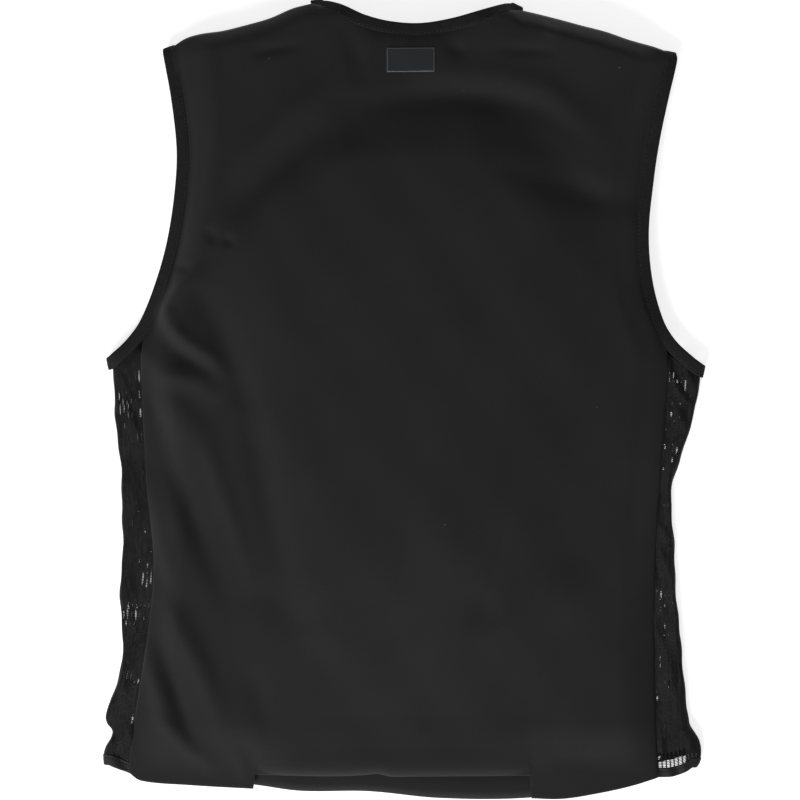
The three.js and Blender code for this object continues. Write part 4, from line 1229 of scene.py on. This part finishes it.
def tape_band(name, line, profile, closed, finish):
    """A tape: its section carried along its stations, flat where it would pass below the floor, and closed
    at the ends by strips if it isn't a loop."""
    point, across, out, ahead = line
    width, half = profile
    ring_across = np.r_[width, width[::-1]]
    ring_out = np.r_[half, -half[::-1]]
    grid = point[:, None] + across[:, None] * ring_across[:, None] + out[:, None] * ring_out[:, None]
    grid[..., 2] = np.maximum(grid[..., 2], 0)
    count, sides = grid.shape[:2]
    number = np.arange(count * sides).reshape(count, sides)
    ahead_number = np.roll(number, -1, 0) if closed else number[1:]
    number = number if closed else number[:-1]
    faces = between_rings(number, ahead_number).reshape(-1, 4)
    if not closed:
        k = np.arange(len(width) - 1)
        cap = np.stack([k, k + 1, sides - 2 - k, sides - 1 - k], -1)
        faces = np.concatenate([faces, cap[:, ::-1], cap + (count - 1) * sides])
    run = run_along(point)
    lay = np.stack(np.broadcast_arrays(run[:, None], ring_across), -1).reshape(-1, 2)
    return piece(name, grid.reshape(-1, 3), faces, finish, lay)


def stitch_row(line, across_at, out_at):
    """Stitches along a tape: short six-sided threads with drawn-in ends, laid end to end in its groove."""
    point, across, out, ahead = line
    middle = point + across * across_at + out * np.asarray(out_at)[..., None]
    run = run_along(middle)
    at = np.arange(STITCH_PITCH, run[-1] - STITCH_PITCH, STITCH_PITCH)
    spot, way, side, up = (np.stack([np.interp(at, run, column) for column in field.T], -1)
                           for field in (middle, ahead, across, out))
    ends = STITCH_ENDS * STITCH_LENGTH
    girth = STITCH_GIRTHS * STITCH_RADIUS
    turn = TAU * np.arange(STITCH_SIDES) / STITCH_SIDES
    rings = (ends[:, None, None] * way[:, None, None]
             + (girth[:, None] * np.cos(turn))[..., None] * side[:, None, None]
             + (girth[:, None] * np.sin(turn))[..., None] * up[:, None, None])
    return (spot[:, None, None] + rings).reshape(-1, STITCH_POINTS, 3)


def stitching(name, rows, finish):
    """Rows of stitches as one piece: the rings of each stitch joined, and its ends closed."""
    points = np.concatenate(rows)
    number = np.arange(STITCH_POINTS).reshape(-1, STITCH_SIDES)
    body = between_rings(number[:-1], number[1:]).reshape(-1, 4)
    ends = np.array([(0, 5, 4, 1), (1, 4, 3, 2), (18, 19, 22, 23), (19, 20, 21, 22)])
    faces = np.concatenate([body, ends])
    faces = (np.arange(len(points))[:, None, None] * STITCH_POINTS + faces).reshape(-1, 4)
    return piece(name, points.reshape(-1, 3), faces, finish)


def back_middle(x, y):
    """Height of the middle of the outer back's cloth, which the tape encloses."""
    return back_under(x, y) + CLOTH / 2


def front_middle(x, y):
    """Height of the middle of a tape that lies where the fronts lie."""
    return front_under(x, y) + BINDING_THICKNESS / 2


profile = tape_profile(BINDING_WIDTH, BINDING_THICKNESS, STITCH_LINE)
groove = BINDING_THICKNESS / 2 - STITCH_SINK
stitch_rows = []
for side in ("left", "right"):
    sign = SIDES[side]["sign"]
    down_back = knots(ARMHOLES[side], back_middle)
    up_front = knots(front_armhole(side), front_middle)[::-1]
    underarm = turn_knot(down_back[-1], up_front[0], (sign * UNDERARM_PAST[0], UNDERARM_PAST[1]))
    shoulder = turn_knot(up_front[-1], down_back[0], SHOULDER_PAST[side])
    path = np.vstack([up_front, shoulder, down_back, underarm])
    line = stations(path, ARMHOLE_STATIONS, closed=True, flip=-sign)
    tape = tape_band(f"armhole_tape_{side}", line, profile, closed=True, finish=binding_tape)
    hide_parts(f"armhole_binding_{side}")
    stitch_rows.append(stitch_row(line, STITCH_LINE, groove))

nape = knots(BACK_NECK, back_middle)
front_neck = {side: knots(FRONT_NECK[side], front_middle) for side in FRONT_NECK}
turn_left = turn_knot(nape[0], front_neck["left"][0], NECK_PAST["left"])
turn_right = turn_knot(nape[-1], front_neck["right"][0], NECK_PAST["right"])
path = np.vstack([front_neck["left"][::-1], turn_left, nape, turn_right, front_neck["right"]])
line = stations(path, NECK_STATIONS, closed=False, flip=-1)
tape = tape_band("neck_tape", line, profile, closed=False, finish=binding_tape)
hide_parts("neck_binding")
stitch_rows.append(stitch_row(line, STITCH_LINE, groove))

stitches = stitching("binding_stitches", stitch_rows, thread)

# Side hems: the same ribbed tape, folded round the foot of each mesh strip and stitched along its upper
# edge. It follows the strip from the back seam round the fold to the front seam.
SIDE_TAPE_THICKNESS = 1.8
SIDE_TAPE_PAST = 2.0
SIDE_STATIONS = 110
SIDE_STITCH_LINE = 1.9
ABOVE_FLOOR = 0.05

hem_tape, wire = new_finish("hem_tape")
run, across = wire.lay()
ribs = run.wave(length=1.5)
fleck = wire.noise(wire.place()[0], scale=350.0)
wire.surface({
    "Base Color": fleck.between((0.014, 0.014, 0.0155, 1), (0.026, 0.026, 0.029, 1)),
    "Roughness": 0.65 + 0.1 * ribs,
    "Specular IOR Level": 0.2,
    "Normal": wire.bump(0.3 * ribs + fleck, strength=0.5, distance=0.0002),
})

side_stitches = []
for side in ("left", "right"):
    section = side_section(side)
    height = SIDES[side]["tape"]
    out = float(section(0.0, SIDES[side]["fold_foot"])[2])
    way = np.linspace(0, 2 * out + np.pi * SIDE_BEND + SIDE_TAPE_PAST, SIDE_STATIONS)
    across, half = tape_profile(height, SIDE_TAPE_THICKNESS, height - SIDE_STITCH_LINE)
    y = side_foot(side, way, out)[None, :] + across[:, None]
    x, z, _ = section(way[None, :], y)
    middle = np.stack([x, y, z], -1)
    along_way = np.gradient(middle, axis=1)
    up_way = np.gradient(middle, axis=0)
    normal = unit(np.cross(along_way, up_way) * SIDES[side]["sign"])
    outer, inner = (middle + sign * half[:, None, None] * normal for sign in (1, -1))
    for face in (outer, inner):
        face[..., 2] = np.maximum(face[..., 2], ABOVE_FLOOR)
    points, faces = wall(outer, inner)
    lay = np.tile(np.stack(np.broadcast_arrays(way[None, :], across[:, None]), -1).reshape(-1, 2), (2, 1))
    tape = piece(f"side_hem_tape_{side}", points, faces, hem_tape, lay)
    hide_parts(f"side_hem_{side}")
    row = np.abs(across - height + SIDE_STITCH_LINE).argmin()
    ahead, up, out_way = (unit(field[row]) for field in (along_way, up_way, normal))
    side_stitches.append(stitch_row((outer[row], up, out_way, ahead), 0.0, 0.0))
stitches = stitching("side_hem_stitches", side_stitches, thread)

# Stage: a plain white floor under soft studio light: a large low light from the foot end on the left and a
# weak one from the head end on the right. The camera is straight above, as the photograph was taken.
FLOOR_SIZE = 8.0
FLOOR_Z = -0.0004
CAMERA_HEIGHT = 2.2
CAMERA_PLACE = (-0.00407, -0.00061)
FRAME_WIDTH = 0.6512
FOCUS_HEIGHT = 0.008
SENSOR_WIDTH = 36.0
LIGHTS = {
    "key": {"place": (-1.45, -3.2, 1.9), "size": 1.7, "power": 158.0},
    "fill": {"place": (1.6, 3.0, 2.4), "size": 2.0, "power": 16.0},
}
SKY = 0.2

floor_white, wire = new_finish("floor_white")
wire.surface({
    "Base Color": (0.9, 0.9, 0.9, 1),
    "Roughness": 0.9,
    "Specular IOR Level": 0.0,
    "Emission Color": (1, 1, 1, 1),
    "Emission Strength": 0.7,
})
half = FLOOR_SIZE / 2
floor_mesh = bpy.data.meshes.new("floor")
corners = [(-half, -half, FLOOR_Z), (half, -half, FLOOR_Z), (half, half, FLOOR_Z), (-half, half, FLOOR_Z)]
floor_mesh.from_pydata(corners, [], [(0, 1, 2, 3)])
floor_mesh.materials.append(floor_white)
floor = bpy.data.objects.new("floor", floor_mesh)
bpy.context.scene.collection.objects.link(floor)

world = bpy.data.worlds.new("studio")
world.use_nodes = True
sky = Wire(world.node_tree)
seen = sky.node("ShaderNodeLightPath", {}, {}, "Is Camera Ray")
sky.fill(world.node_tree.nodes["Background"], {"Color": (1, 1, 1, 1), "Strength": SKY + (1 - SKY) * seen})
bpy.context.scene.world = world

for name, light in LIGHTS.items():
    lamp = bpy.data.lights.new(name, "AREA")
    lamp.size = light["size"]
    lamp.energy = light["power"]
    stand = bpy.data.objects.new(name, lamp)
    x, y, z = light["place"]
    stand.location = (x, y, z)
    stand.rotation_euler = (np.arctan2(np.hypot(x, y), z), 0, np.arctan2(y, x) + np.pi / 2)
    bpy.context.scene.collection.objects.link(stand)

lens = bpy.data.cameras.new("camera")
lens.sensor_width = SENSOR_WIDTH
lens.lens = SENSOR_WIDTH * CAMERA_HEIGHT / FRAME_WIDTH
camera = bpy.data.objects.new("camera", lens)
camera.location = (*CAMERA_PLACE, CAMERA_HEIGHT + FOCUS_HEIGHT)
bpy.context.scene.collection.objects.link(camera)
bpy.context.scene.camera = camera
bpy.context.scene.view_settings.view_transform = "Standard"
